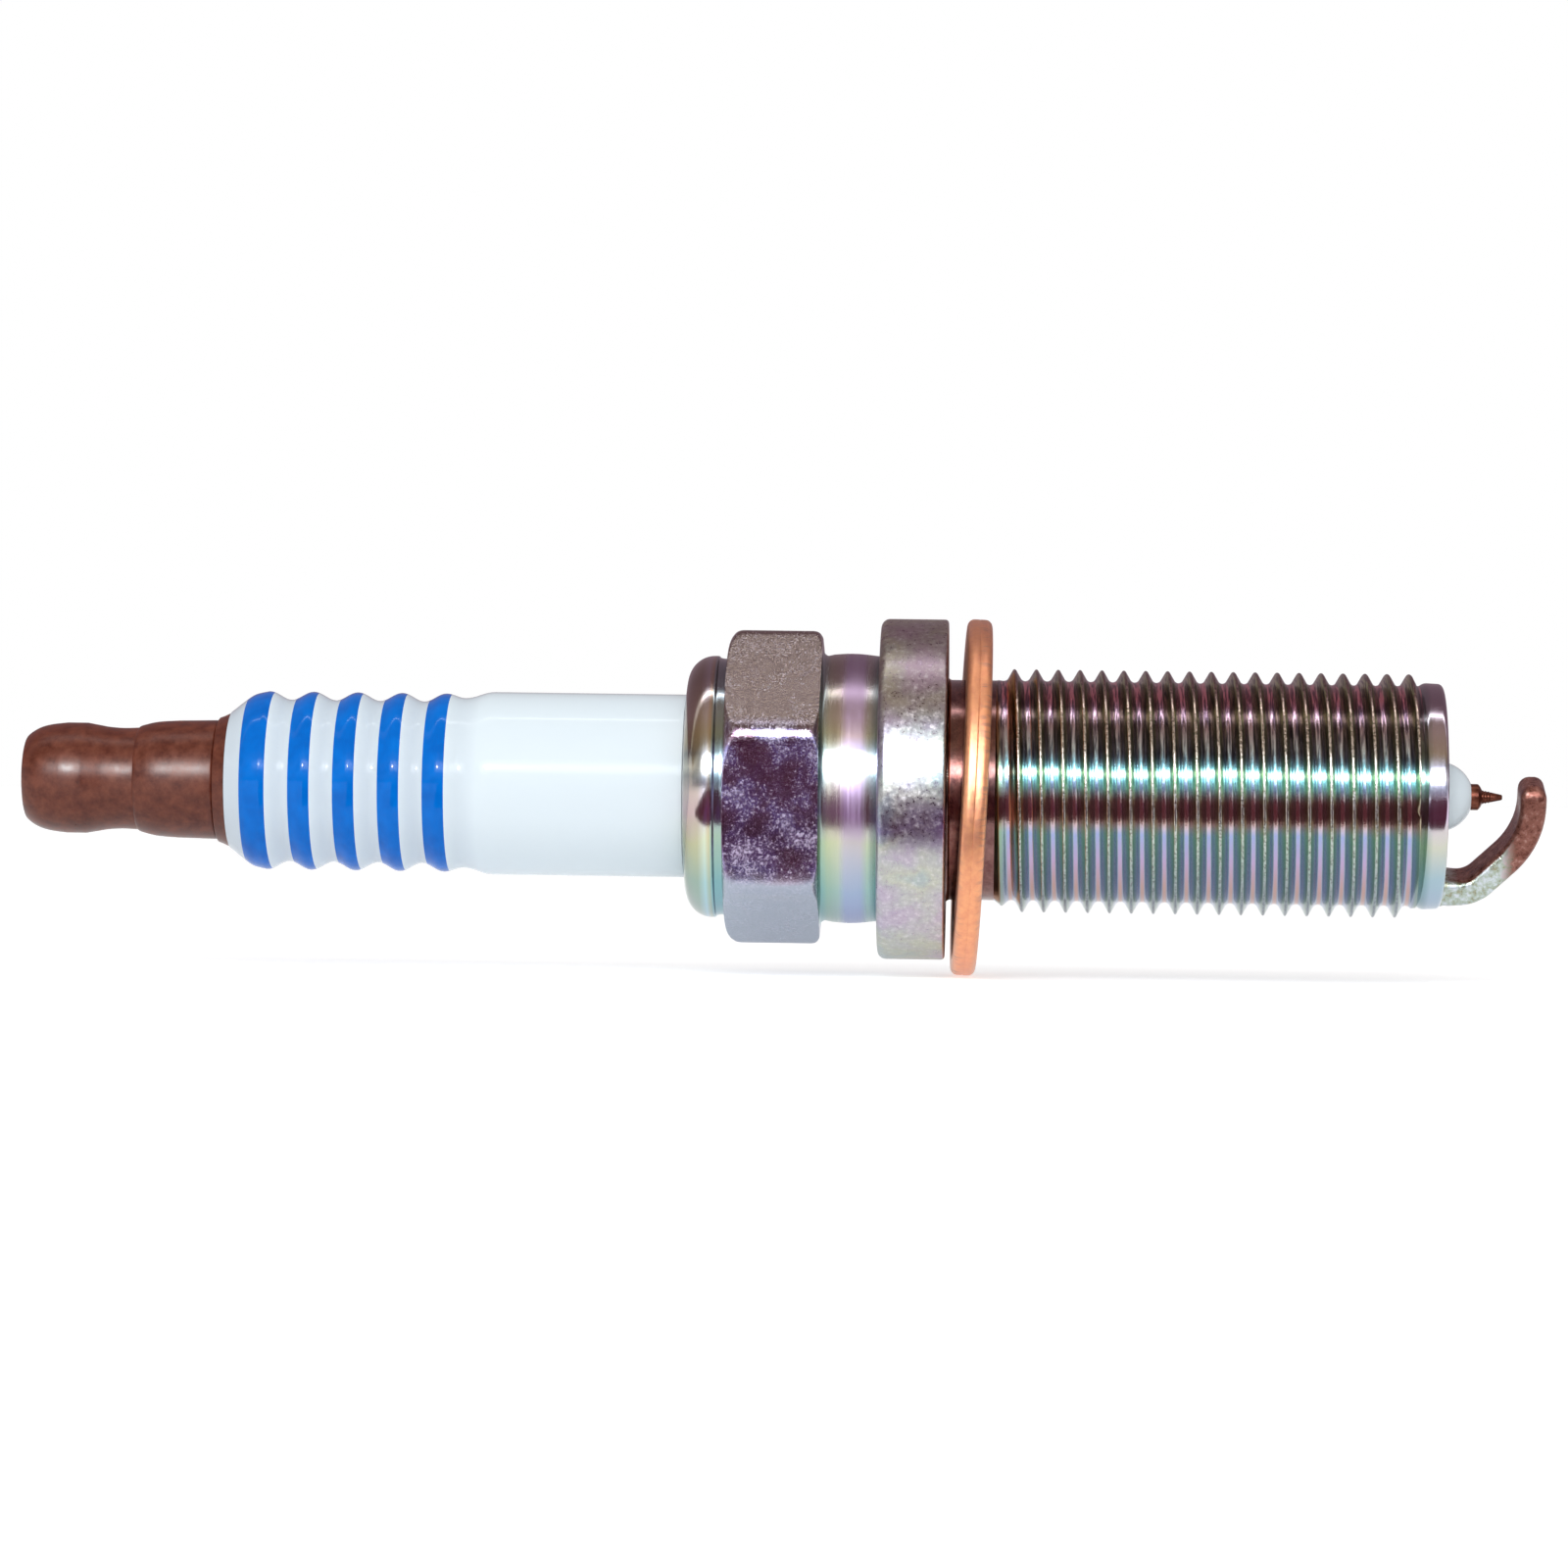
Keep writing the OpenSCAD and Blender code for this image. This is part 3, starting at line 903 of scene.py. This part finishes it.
def strap_metal():
    """Plated steel at the root, rough from the weld, then nickel alloy that heat has browned.

    The face towards the axis is browned along its whole length.
    """
    material, tree, bsdf, coords = new_material("heat_browned_strap")
    x = about_axis(tree, coords)[0]
    strap_side = radians(strap_turn - 90)
    away = (1, cos(strap_side), sin(strap_side))
    inner = scaled(tree, facing(tree, away), -1.0, -0.75, 1.0, 0.0)
    blotches = noise(tree, coords, 2.6, 6.0, 0.72)
    browned_from = scaled(tree, wandering(tree, x, blotches, 1.6), plating_x0, plating_x1)
    bare = maths(tree, "MAXIMUM", browned_from, inner)
    plate = ramp(tree, blotches, (0.36, "#96947c"), (0.48, "#a9b6aa"), (0.6, "#ccd3da"))
    brown = ramp(tree, blotches, (0.36, "#65352a"), (0.55, "#8a584c"), (0.68, "#b58d84"))
    link(
        tree,
        bsdf,
        Base_Color=mixed(tree, bare, plate, brown),
        Metallic=scaled(tree, bare, 0, 1, 0.9, 0.55),
        Roughness=scaled(tree, blotches, 0.3, 0.7, 0.22, 0.42),
        Normal=bump(tree, blotches, 0.55, 0.07),
    )
    return material


ticks_per_half_turn = 120.0


def copper():
    """Soft copper strip with fine ticks across the rim, where it was folded.

    Its coat is a skin rubbed bright, which gives the broad satin glare round the rim.
    """
    material, tree, bsdf, coords = new_material(
        "annealed_copper", Metallic=0.85, Coat_Weight=1.0, Coat_Roughness=0.45, Coat_IOR=2.2
    )
    x, _, turn = about_axis(tree, coords)
    drawn_in = {
        "X": maths(tree, "MULTIPLY", x, 0.8),
        "Z": maths(tree, "MULTIPLY", turn, ticks_per_half_turn),
    }
    ticks = noise(tree, result(tree, "CombineXYZ", drawn_in), 1.0, 2.0)
    speckle = noise(tree, coords, 2.5, 4.0, 0.65)
    skin = ramp(tree, speckle, (0.32, "#dc7c38"), (0.68, "#ec9850"))
    edge = maths(tree, "ABSOLUTE", maths(tree, "SUBTRACT", x, gasket_x))
    near_edge = scaled(tree, edge, 0.25, 0.75)
    cut = maths(tree, "MULTIPLY", near_edge, scaled(tree, ticks, 0.54, 0.62, 0.0, 0.7))
    link(
        tree,
        bsdf,
        Base_Color=mixed(tree, cut, skin, "#a85c38"),
        Roughness=scaled(tree, speckle, 0.3, 0.7, 0.34, 0.46),
        Normal=bump(tree, maths(tree, "ADD", speckle, ticks), 0.35, 0.04),
    )
    return material


def plain_finish(name, code, metallic, roughness, grain):
    """A plain inner piece, with the slight grain of its own stuff."""
    material, tree, bsdf, coords = new_material(name, Metallic=metallic, Roughness=roughness)
    specks = noise(tree, coords, 1 / grain, 3.0)
    tint = scaled(tree, specks, 0.2, 0.8, 0.85, 1.15)
    colour = result(tree, "HueSaturation", {"Color": code, "Value": tint})
    link(tree, bsdf, Base_Color=colour, Normal=bump(tree, specks, 0.2, 0.02))
    return material


# ---- Terminal ----

terminal_finish = browned("aged_terminal_nickel", "#501e10", "#723a28", 0.33, 0.0, 0.35)


def terminal_nut():
    """A rounded head, a waist and a plain foot over a blind bore."""
    outline = [(nut_x0, 0)]
    head = [(0, 1.95), (0.1, 2.4), (0.7, 2.83), (1.4, 3.05), (2.35, terminal_r)]
    waist = [(3.5, terminal_r), (4.25, 3.04), (4.8, 2.95), (5.6, 2.9), (6.4, 2.93)]
    foot = [(6.5, 2.94), (6.62, 3.04), (6.95, 3.14), (7.35, 3.24), (7.85, 3.31), (8.8, 3.37)]
    for points in (head, waist, foot):
        outline += curve(points, nut_x0)
    outline += arc(nut_x1 - nut_foot_round, nut_r - nut_foot_round, nut_foot_round, 0, 90, 4)
    outline += [(nut_x1, nut_bore_r), (stud_x0 - drill_room, nut_bore_r)]
    outline += [(stud_x0 - drill_room - drill_point, 0)]
    return lathe(outline, closed=False)


def stud_flange():
    """The stud's flange on the insulator's end, and its stem inside."""
    outline = [(nut_x1 - 0.3, 0), (nut_x1 - 0.3, 1.5), (nut_x1, 1.6)]
    outline += arc(nut_x1 + 0.1, 3.5, 0.1, -90, -10, 3)
    outline += curve([(0.3, 3.68), (0.6, 3.82)], nut_x1)
    outline += [(insulator_x0, 3.87), (insulator_x0, stem_r)]
    outline += [(stem_end_x, stem_r - 0.15), (stem_end_x, 0)]
    return lathe(outline, closed=False)


# ---- Threads ----


def thread_profile(crest_r, pitch, depth):
    """One pitch of a 60 degree thread, root to root, with a round root and a narrow crest.

    The root's radius is the one at which its arc runs straight into the flanks.
    """
    crest_half = 0.075 * pitch
    crest_drop = 0.04 * pitch
    crown = 0.01 * pitch
    flank = radians(60)
    rise = (pitch / 2 - crest_half) * tan(flank) - depth + crest_drop
    root_round = rise / (sin(flank) * tan(flank) - 1 + cos(flank))
    half = arc(0, crest_r - depth + root_round, -root_round, 0, -60, 6)
    half += [(pitch / 2 - crest_half, crest_r - crest_drop)]
    half += [(pitch / 2 - crest_half / 2, crest_r), (pitch / 2, crest_r + crown)]
    return half + [(pitch - x, r) for x, r in reversed(half[:-1])]


def threaded(crest_r, pitch, depth, crest_x, x0, x1, core_r, runs, bore_r=0, steps=96):
    """A right-hand thread, run out to the core's radius at both ends.

    A crest crosses the top at crest_x. runs holds the lengths of the run-in and the run-out.
    """
    bm = bmesh.new()
    start = crest_x - pitch * (ceil((crest_x - x0) / pitch) + 1.5)
    turns = ceil((x1 - start) / pitch) + 1
    profile = [(start + x, r) for x, r in thread_profile(crest_r, pitch, depth)]
    bmesh.ops.spin(
        bm,
        geom=line_of(bm, profile, False),
        cent=CENTRE,
        axis=AXIS,
        dvec=AXIS * pitch * MM / steps,
        angle=2 * pi,
        steps=steps,
    )
    one_turn = bm.verts[:] + bm.edges[:] + bm.faces[:]
    for i in range(1, turns):
        copied = bmesh.ops.duplicate(bm, geom=one_turn)["geom"]
        copied = [v for v in copied if isinstance(v, bmesh.types.BMVert)]
        bmesh.ops.translate(bm, vec=AXIS * pitch * i * MM, verts=copied)
    bmesh.ops.remove_doubles(bm, verts=bm.verts, dist=MM * 1e-3)
    for x, away in ((x0, -1), (x1, 1)):
        bmesh.ops.bisect_plane(
            bm,
            geom=bm.verts[:] + bm.edges[:] + bm.faces[:],
            plane_co=(x * MM, 0, 0),
            plane_no=(away, 0, 0),
            clear_outer=True,
        )
    for v in bm.verts:
        x, r = v.co.x / MM, hypot(v.co.y, v.co.z) / MM
        fade = max(0, min(1, (x - x0) / runs[0], (x1 - x) / runs[1]))
        v.co.yz *= (core_r + (r - core_r) * fade) / r
    rims = [e for e in bm.edges if e.is_boundary]
    if bore_r:
        rings = []
        for x in (x0, x1):
            place = Matrix.Translation((x * MM, 0, 0)) @ Matrix.Rotation(pi / 2, 4, "Y")
            ring = bmesh.ops.create_circle(bm, segments=steps, radius=bore_r * MM, matrix=place)
            rings.append(list({e for v in ring["verts"] for e in v.link_edges}))
            outer = [e for e in rims if abs(e.verts[0].co.x - x * MM) < 1e-5]
            bmesh.ops.bridge_loops(bm, edges=outer + rings[-1])
        bmesh.ops.bridge_loops(bm, edges=rings[0] + rings[1])
    else:
        bmesh.ops.holes_fill(bm, edges=rims)
    bmesh.ops.recalc_face_normals(bm, faces=bm.faces)
    return bm


# ---- Insulator ----

# The blue bands, measured from the crests they lie on.
first_band_back = 1.15
band_back = 0.92
band_front = 0.33


def insulator():
    """Ribbed head, smooth barrel, the body in the shell and a long nose that ends in a ball."""
    outline = [(insulator_x0, core_bore_r), (insulator_x0, 3.8)]
    head = [(0.03, 3.95), (0.25, 4.12), (0.85, 4.6), (1.4, 4.95)]
    outline += curve(head + [(first_rib_x - insulator_x0, rib_crest_r)], insulator_x0)
    for i in range(1, rib_count):
        crest = first_rib_x + i * rib_pitch
        valley = crest - rib_pitch / 2
        outline += ease(crest - rib_pitch, rib_crest_r, valley, rib_valley_r)[1:]
        outline += ease(valley, rib_valley_r, crest, rib_crest_r)[1:]
    outline += ease(last_rib_x, rib_crest_r, last_valley_x, last_valley_r)[1:]
    outline += ease(last_valley_x, last_valley_r, barrel_x0, barrel_r)[1:]
    outline += [(shell_x0 - 0.1, barrel_r), (shell_x0 - 0.02, body_r + 0.1)]
    outline += [(shell_x0 + 0.2, body_r), (shoulder_x0, body_r)]
    outline += [(shoulder_x0 + shoulder_r - body_r, shoulder_r), (front_taper_x, shoulder_r)]
    outline += [(front_taper_x + shoulder_r - long_body_r, long_body_r)]
    outline += [(seat_x0, long_body_r), (seat_x1, nose_root_r)]
    outline += arc(nose_ball_x, 0, nose_r, 0, degrees(acos(electrode_bore_r / nose_r)) - 1, 16)
    outline += [(nose_ball_x + sqrt(nose_r**2 - electrode_bore_r**2), electrode_bore_r)]
    outline += [(shank_bore_x1, electrode_bore_r), (shank_bore_x1, shank_bore_r)]
    outline += [(shank_bore_x0, shank_bore_r), (electrode_seat_x, core_bore_r)]
    return lathe(outline)


# ---- Metal shell ----


def smooth_min(a, b, blend):
    """The smaller of two radii, with the corner between them rounded over the blend."""
    overlap = max(blend - abs(a - b), 0) / blend
    return min(a, b) - overlap**2 * blend / 4


def hexagon():
    """A turned blank with rounded shoulders, pinched to six flats with softened corners."""
    outline = [(hex_x0, shell_bore_r), (hex_x0, hex_corner_r - hex_back_round - 0.1)]
    for x, r, start, end, n in (
        (hex_x0 + hex_back_round, hex_back_round, -88, 0, 20),
        (hex_x1 - hex_front_round, hex_front_round, 0, 75, 14),
    ):
        outline += arc(x, hex_corner_r - r, r, start, end, n)
    outline += [(hex_x1 - 0.01, hex_face_r), (hex_x1 + 0.02, groove_r)]
    outline += [(hex_x1 + 0.02, shell_bore_r)]
    bm = lathe(outline, steps=360)
    for v in bm.verts:
        r = hypot(v.co.y, v.co.z) / MM
        turn = (degrees(atan2(v.co.z, -v.co.y)) + hex_lean) % 60
        flats = [hex_af / 2 / cos(radians(a)) for a in (turn, 60 - turn)]
        flat_r = smooth_min(*flats, hex_corner_blend)
        v.co.yz *= smooth_min(flat_r, r, hex_shoulder_blend) / r
    return bm


def crimp():
    """The rim rolled over on to the insulator, with a small step down to the hexagon."""
    outline = [(shell_x0 + lip_len, shell_bore_r), (shell_x0 + lip_len, lip_r)]
    outline += arc(shell_x0 + lip_round, lip_r + lip_round, lip_round, 180, 270, 4)
    outline += arc(shell_x0 + crimp_round, crimp_r - crimp_round, crimp_round, -88, 0, 16)
    step = [(-0.62, 0), (-0.55, 0.03), (-0.48, 0.11), (-0.2, crimp_step)]
    outline += curve([(x, crimp_r - drop) for x, drop in step], hex_x0)
    outline += [(hex_x0 + 0.1, crimp_r - crimp_step / 2), (hex_x0 + 0.1, shell_bore_r)]
    return lathe(outline)


def groove():
    """The thin waist between the hexagon and the collar, bulged a little by the hot crimping."""
    outline = [(hex_x1 - 0.1, shell_bore_r), (hex_x1 - 0.1, groove_r + 0.3)]
    outline += arc(hex_x1 + groove_fillet, groove_r + groove_fillet, -groove_fillet, 90, 10, 6)
    outline += [
        (hex_x1 + groove_len * t, groove_r + groove_bulge * sin(pi * t))
        for t in (i / 16 for i in range(3, 15))
    ]
    outline += [(-collar_len + 0.1, groove_r), (-collar_len + 0.1, shell_bore_r)]
    return lathe(outline)


def collar():
    """The collar, whose front face is the gasket seat."""
    outline = [(-collar_len, shell_bore_r), (-collar_len, groove_r)]
    back, front = collar_back_round, collar_front_round
    outline += arc(-collar_len + back, collar_r - back, back, -90, 0, 8)
    outline += arc(-front, collar_r - front, front, 0, 90, 5)
    outline += [(0, neck_r), (-0.1, neck_r - 0.1), (-0.1, shell_bore_r)]
    return lathe(outline)


def relief():
    """The plain neck between the seat and the thread."""
    outline = [(-0.05, 5.0), (-0.05, neck_r + neck_fillet)]
    outline += arc(neck_fillet, neck_r + neck_fillet, -neck_fillet, 90, 0, 5)
    return lathe(outline + [(thread_x0 + 0.05, neck_r), (thread_x0 + 0.05, mouth_r + 0.1)])


def end_ring():
    """The plain end of the shell round the mouth."""
    outline = [(thread_x1 - 0.15, mouth_r + 0.05), (thread_x1 - 0.15, neck_r - 0.05)]
    outline += curve([(0.0, 6.3), (0.25, end_ring_r - 0.03), (0.45, end_ring_r)], thread_x1, 3)
    edge, mouth = end_ring_round, mouth_round
    outline += arc(shell_x1 - edge, end_ring_r - edge - 0.03, edge, 0, 90, 8)
    outline += arc(shell_x1 - mouth, mouth_r + mouth, mouth, 90, 180, 4)
    return lathe(outline)


# ---- Gasket ----


def gasket():
    """A strip folded into a ring, with rounded edges and a seam round the rim."""
    half = gasket_t / 2
    inner, outer = gasket_bore_round, gasket_rim_round
    outline = arc(half - inner, gasket_bore_r + inner, inner, 90, 180, 5)
    outline += arc(inner - half, gasket_bore_r + inner, inner, 180, 270, 5)
    outline += arc(outer - half, gasket_r - outer, outer, -90, 0, 8)
    outline += [(-0.04, gasket_r), (0, gasket_r - gasket_seam), (0.04, gasket_r)]
    outline += arc(half - outer, gasket_r - outer, outer, 0, 90, 8)
    return moved(
        lathe(outline),
        Matrix.Translation(Vector((gasket_x, 0, -gasket_drop)) * MM)
        @ Matrix.Rotation(radians(gasket_swing), 4, "Z")
        @ Matrix.Rotation(radians(gasket_lean), 4, "Y"),
    )


# ---- Centre electrode and its needle ----

weld_len = 0.5
weld_neck_x = needle_x1 - weld_len
weld_neck_r = 0.38
weld_ripple = 0.02
tip_root_r = 0.29
tip_end_r = 0.16
tip_round = 0.08


def electrode():
    """The shank, a shoulder, and the rippled cone of weld metal under the tip."""
    outline = [(shank_bore_x0, 0), (shank_bore_x0, electrode_r)]
    outline += [(weld_neck_x - 0.25, electrode_r)]
    outline += curve([(-0.2, 0.72), (-0.08, 0.55), (0, weld_neck_r)], weld_neck_x, 4)[1:]
    for i in range(1, 12):
        t = i / 12
        r = weld_neck_r + (tip_root_r - weld_neck_r) * t + weld_ripple * sin(pi * i / 2)
        outline.append((weld_neck_x + weld_len * t, r))
    return lathe(outline + [(needle_x1, tip_root_r), (needle_x1, 0)], closed=False, steps=64)


def needle_tip():
    """The iridium needle, a little rounded at its end."""
    outline = [(needle_x1 - 0.02, 0), (needle_x1 - 0.02, tip_root_r)]
    outline += arc(tip_x1 - tip_round, tip_end_r - tip_round, tip_round, 15, 90, 4)
    return lathe(outline + [(tip_x1, 0)], closed=False, steps=48)


# ---- Ground electrode ----

strap_corner_r = 0.4

# The domed end: its height, and how far its top draws in from each face and each side.
dome_height = 0.8
dome_thins = 0.62
dome_narrows = 0.66
dome_steps = 6

# The upset root: its scale in thickness and width, and then the scales and step of each ring.
root_upset = (1.22, 1.06)
root_rings = ((0.97, 1, 0.1), (0.92, 0.97, 0.16), (0.95, 0.98, 0.3), (0.97, 0.99, 0.5))
root_sunk = 0.3
root_lift = 0.06
weld_reach = 1.0
weld_height = 0.16
weld_bumps_per_mm = 2.2


def pushed(bm, loop, offset, size=(1, 1, 1)):
    """Extrudes a loop of edges by an offset, resizes the new loop, and returns it."""
    made = bmesh.ops.extrude_edge_only(bm, edges=loop)["geom"]
    verts = {v for v in made if isinstance(v, bmesh.types.BMVert)}
    middle = sum((v.co for v in verts), Vector()) / len(verts)
    bmesh.ops.scale(bm, vec=size, space=Matrix.Translation(-middle), verts=list(verts))
    bmesh.ops.translate(bm, vec=Vector(offset) * MM, verts=list(verts))
    return [e for e in made if isinstance(e, bmesh.types.BMEdge) and set(e.verts) <= verts]


def bent(bm, loop, centre, steps):
    """Sweeps a loop of edges through 45 degrees towards the axis."""
    made = bmesh.ops.spin(
        bm,
        geom=loop + list({v for e in loop for v in e.verts}),
        cent=Vector(centre) * MM,
        axis=(0, 0, 1),
        dvec=CENTRE,
        angle=-pi / 4,
        steps=steps,
    )
    return [e for e in made["geom_last"] if isinstance(e, bmesh.types.BMEdge)]


def strap():
    """A rounded bar welded to the end face, bent twice to cross the axis, and upset at its root.

    It is drawn in the plane of x and distance from the axis, then turned to its place.
    """
    bend1 = Vector((shell_x1 + strap_straight, strap_root_rho - bend1_r, 0))
    outward = Vector((sin(pi / 4), cos(pi / 4), 0))
    slope = Vector((cos(pi / 4), -sin(pi / 4), 0))
    bend2_start = bend1 + bend1_r * outward + strap_diagonal * slope
    leg_x = strap_x1 - strap_t / 2
    bend2_r = (leg_x - bend2_start.x) / (1 - cos(pi / 4))
    bend2 = bend2_start - bend2_r * outward

    bm = bmesh.new()
    bmesh.ops.create_grid(bm, x_segments=1, y_segments=1, size=0.5 * MM)
    moved(bm, Matrix.Diagonal((strap_t, strap_w, 1, 1)))
    bmesh.ops.bevel(
        bm,
        geom=bm.verts[:],
        offset=strap_corner_r * MM,
        offset_type="OFFSET",
        affect="VERTICES",
        segments=6,
        profile=0.5,
        material=-1,
    )
    bmesh.ops.delete(bm, geom=bm.faces[:], context="FACES_ONLY")
    straight = [e for e in bm.edges if e.calc_length() > 0.5 * MM]
    bmesh.ops.subdivide_edges(bm, edges=straight, cuts=5)
    moved(bm, Matrix(((0, 0, 1, 0), (1, 0, 0, 0), (0, 1, 0, 0), (0, 0, 0, 1))))
    moved(bm, Matrix.Diagonal((1, *root_upset, 1)))
    start = Vector((shell_x1 - root_sunk, strap_root_rho - root_lift, 0))
    moved(bm, Matrix.Translation(start * MM))
    loop = pushed(bm, bm.edges[:], (root_sunk + 0.04, 0, 0))
    for thinner, narrower, step in root_rings:
        loop = pushed(bm, loop, (step, root_lift / len(root_rings), 0), (1, thinner, narrower))
    loop = bent(bm, loop, bend1, 8)
    loop = pushed(bm, loop, slope * strap_diagonal)
    loop = bent(bm, loop, bend2, 14)
    loop = pushed(bm, loop, (0, dome_height - strap_past_axis - bend2.y, 0))
    half_t, half_w, height = strap_t / 2, strap_w / 2, 0
    for i in range(1, dome_steps + 1):
        a = radians(90 * i / dome_steps)
        next_t = strap_t / 2 - dome_thins * (1 - cos(a))
        next_w = strap_w / 2 - dome_narrows * (1 - cos(a))
        step = (0, height - dome_height * sin(a), 0)
        loop = pushed(bm, loop, step, (next_t / half_t, 1, next_w / half_w))
        half_t, half_w, height = next_t, next_w, dome_height * sin(a)
    for v in bm.verts:
        near_root = max(0, 1 - (v.co.x / MM - shell_x1) / weld_reach)
        ragged = fractal(v.co / MM * weld_bumps_per_mm, 0.6, 2.0, 3)
        outward = Vector((0, v.co.y - strap_root_rho * MM, v.co.z)).normalized()
        v.co += outward * weld_height * MM * ragged * near_root
    bmesh.ops.holes_fill(bm, edges=[e for e in bm.edges if e.is_boundary])
    bmesh.ops.recalc_face_normals(bm, faces=bm.faces)
    return moved(bm, Matrix.Rotation(radians(strap_turn - 90), 4, "X"))


# ---- The pieces, and plain finishes for the parts inside ----


def main_thread():
    return threaded(
        crest_r=thread_crest_r,
        pitch=thread_pitch,
        depth=thread_depth,
        crest_x=top_crest_x,
        x0=thread_x0,
        x1=thread_x1,
        core_r=neck_r,
        runs=(0.9, 0.3),
        bore_r=mouth_r,
    )


def stud_thread():
    return threaded(
        crest_r=stud_crest_r,
        pitch=stud_pitch,
        depth=stud_depth,
        crest_x=stud_x0 + stud_pitch,
        x0=stud_x0,
        x1=nut_x1 - 0.2,
        core_r=stud_crest_r - stud_depth,
        runs=(0.5, 0.4),
        steps=64,
    )


# Tints along each polished piece. The crimp's tan dome is painted shade, and its gold band and teal
# step are painted reflection. The groove's lilac middle and green sides are painted reflection of
# its bulge. The ring starts blue-green.
crimp_plate = polished_plate(
    "polished_plate_crimp",
    (shell_x0, hex_x0),
    (0.0, "#c8b89c"),
    (0.4, "#d8ccb0"),
    (0.58, "#ffffff"),
    (0.68, "#f4e0bc"),
    (0.74, "#b4d6d6"),
    (1.0, "#a4c8cc"),
)
groove_plate = polished_plate(
    "polished_plate_groove",
    (hex_x1, -collar_len),
    (0.04, "#acd4ce"),
    (0.16, "#d9dfc0"),
    (0.34, "#efe9da"),
    (0.46, "#ecd6ff"),
    (0.72, "#ecd6ff"),
    (0.84, "#dfe6da"),
    (1.0, "#9fc8cc"),
    satin=((0.36, "#b0b0b0"), (0.5, "#ffffff"), (0.7, "#ffffff"), (0.86, "#b0b0b0")),
)
ring_plate = polished_plate(
    "polished_plate_ring",
    (thread_x1, shell_x1),
    (0.0, "#9fb8b8"),
    (0.4, "#f0e6f4"),
    (1.0, "#f0e6f4"),
)
heat_brown = browned("heat_browned_nickel", "#4a2218", "#7c4634", 0.34, 0.75)
# The neck is painted dark as painted shade, for the recess between the collar and the gasket.
neck_painted_shade = browned("neck_steel_painted_shade", "#684848", "#8c6a66", 0.16, 1.0)
steel_wire = plain_finish("packing_steel", "#8e9196", 1.0, 0.4, 0.3)

piece(
    terminal_nut(),
    "terminal_nut_turned",
    terminal_finish,
    "terminal_metal",
    "terminal_nut",
    body="terminal_nut",
)
piece(stud_flange(), "terminal_stud_flange", terminal_finish, "terminal_metal", "terminal_stud")
piece(stud_thread(), "terminal_stud_thread", terminal_finish, "terminal_metal")
piece(insulator(), "insulator_glazed", porcelain(), "porcelain", "insulator")
piece(hexagon(), "shell_hexagon", drawn_plate(), "shell_plating", "metal_shell", sharp=50)
piece(crimp(), "shell_crimp", crimp_plate, "shell_plating")
piece(groove(), "shell_groove", groove_plate, "shell_plating")
piece(collar(), "shell_collar", satin_plate(), "shell_plating")
piece(relief(), "shell_neck", neck_painted_shade, "shell_plating")
piece(main_thread(), "shell_thread", thread_plate(), "shell_plating", sharp=40)
piece(end_ring(), "shell_end_ring", ring_plate, "shell_plating")
piece(gasket(), "gasket_ring", copper(), "copper", "gasket", body="gasket")
piece(electrode(), "centre_electrode_shank", heat_brown, "electrode_alloy", "centre_electrode")
piece(needle_tip(), "iridium_needle", heat_brown, "needle_metal", "iridium_tip")
piece(strap(), "ground_strap", strap_metal(), "electrode_alloy", "ground_electrode", sharp=60)

glass = plain_finish("copper_glass_seal", "#4a443c", 0.3, 0.5, 0.2)
core_copper = plain_finish("drawn_copper", "#c98a63", 1.0, 0.35, 0.4)
inner_finishes = {
    "upper_glass_seal": glass,
    "lower_glass_seal": glass,
    "resistor": plain_finish("carbon_glass_resistor", "#2a2a2a", 0.0, 0.6, 0.2),
    "copper_core": core_copper,
    "ground_electrode_core": core_copper,
    "upper_packing_ring": steel_wire,
    "lower_packing_ring": steel_wire,
    "seat_packing": steel_wire,
    "talc_packing": plain_finish("pressed_talc", "#d9d8cf", 0.0, 0.8, 0.15),
}
for node_name, finish in inner_finishes.items():
    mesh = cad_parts[node_name].data
    mesh.materials.clear()
    mesh.materials.append(finish)
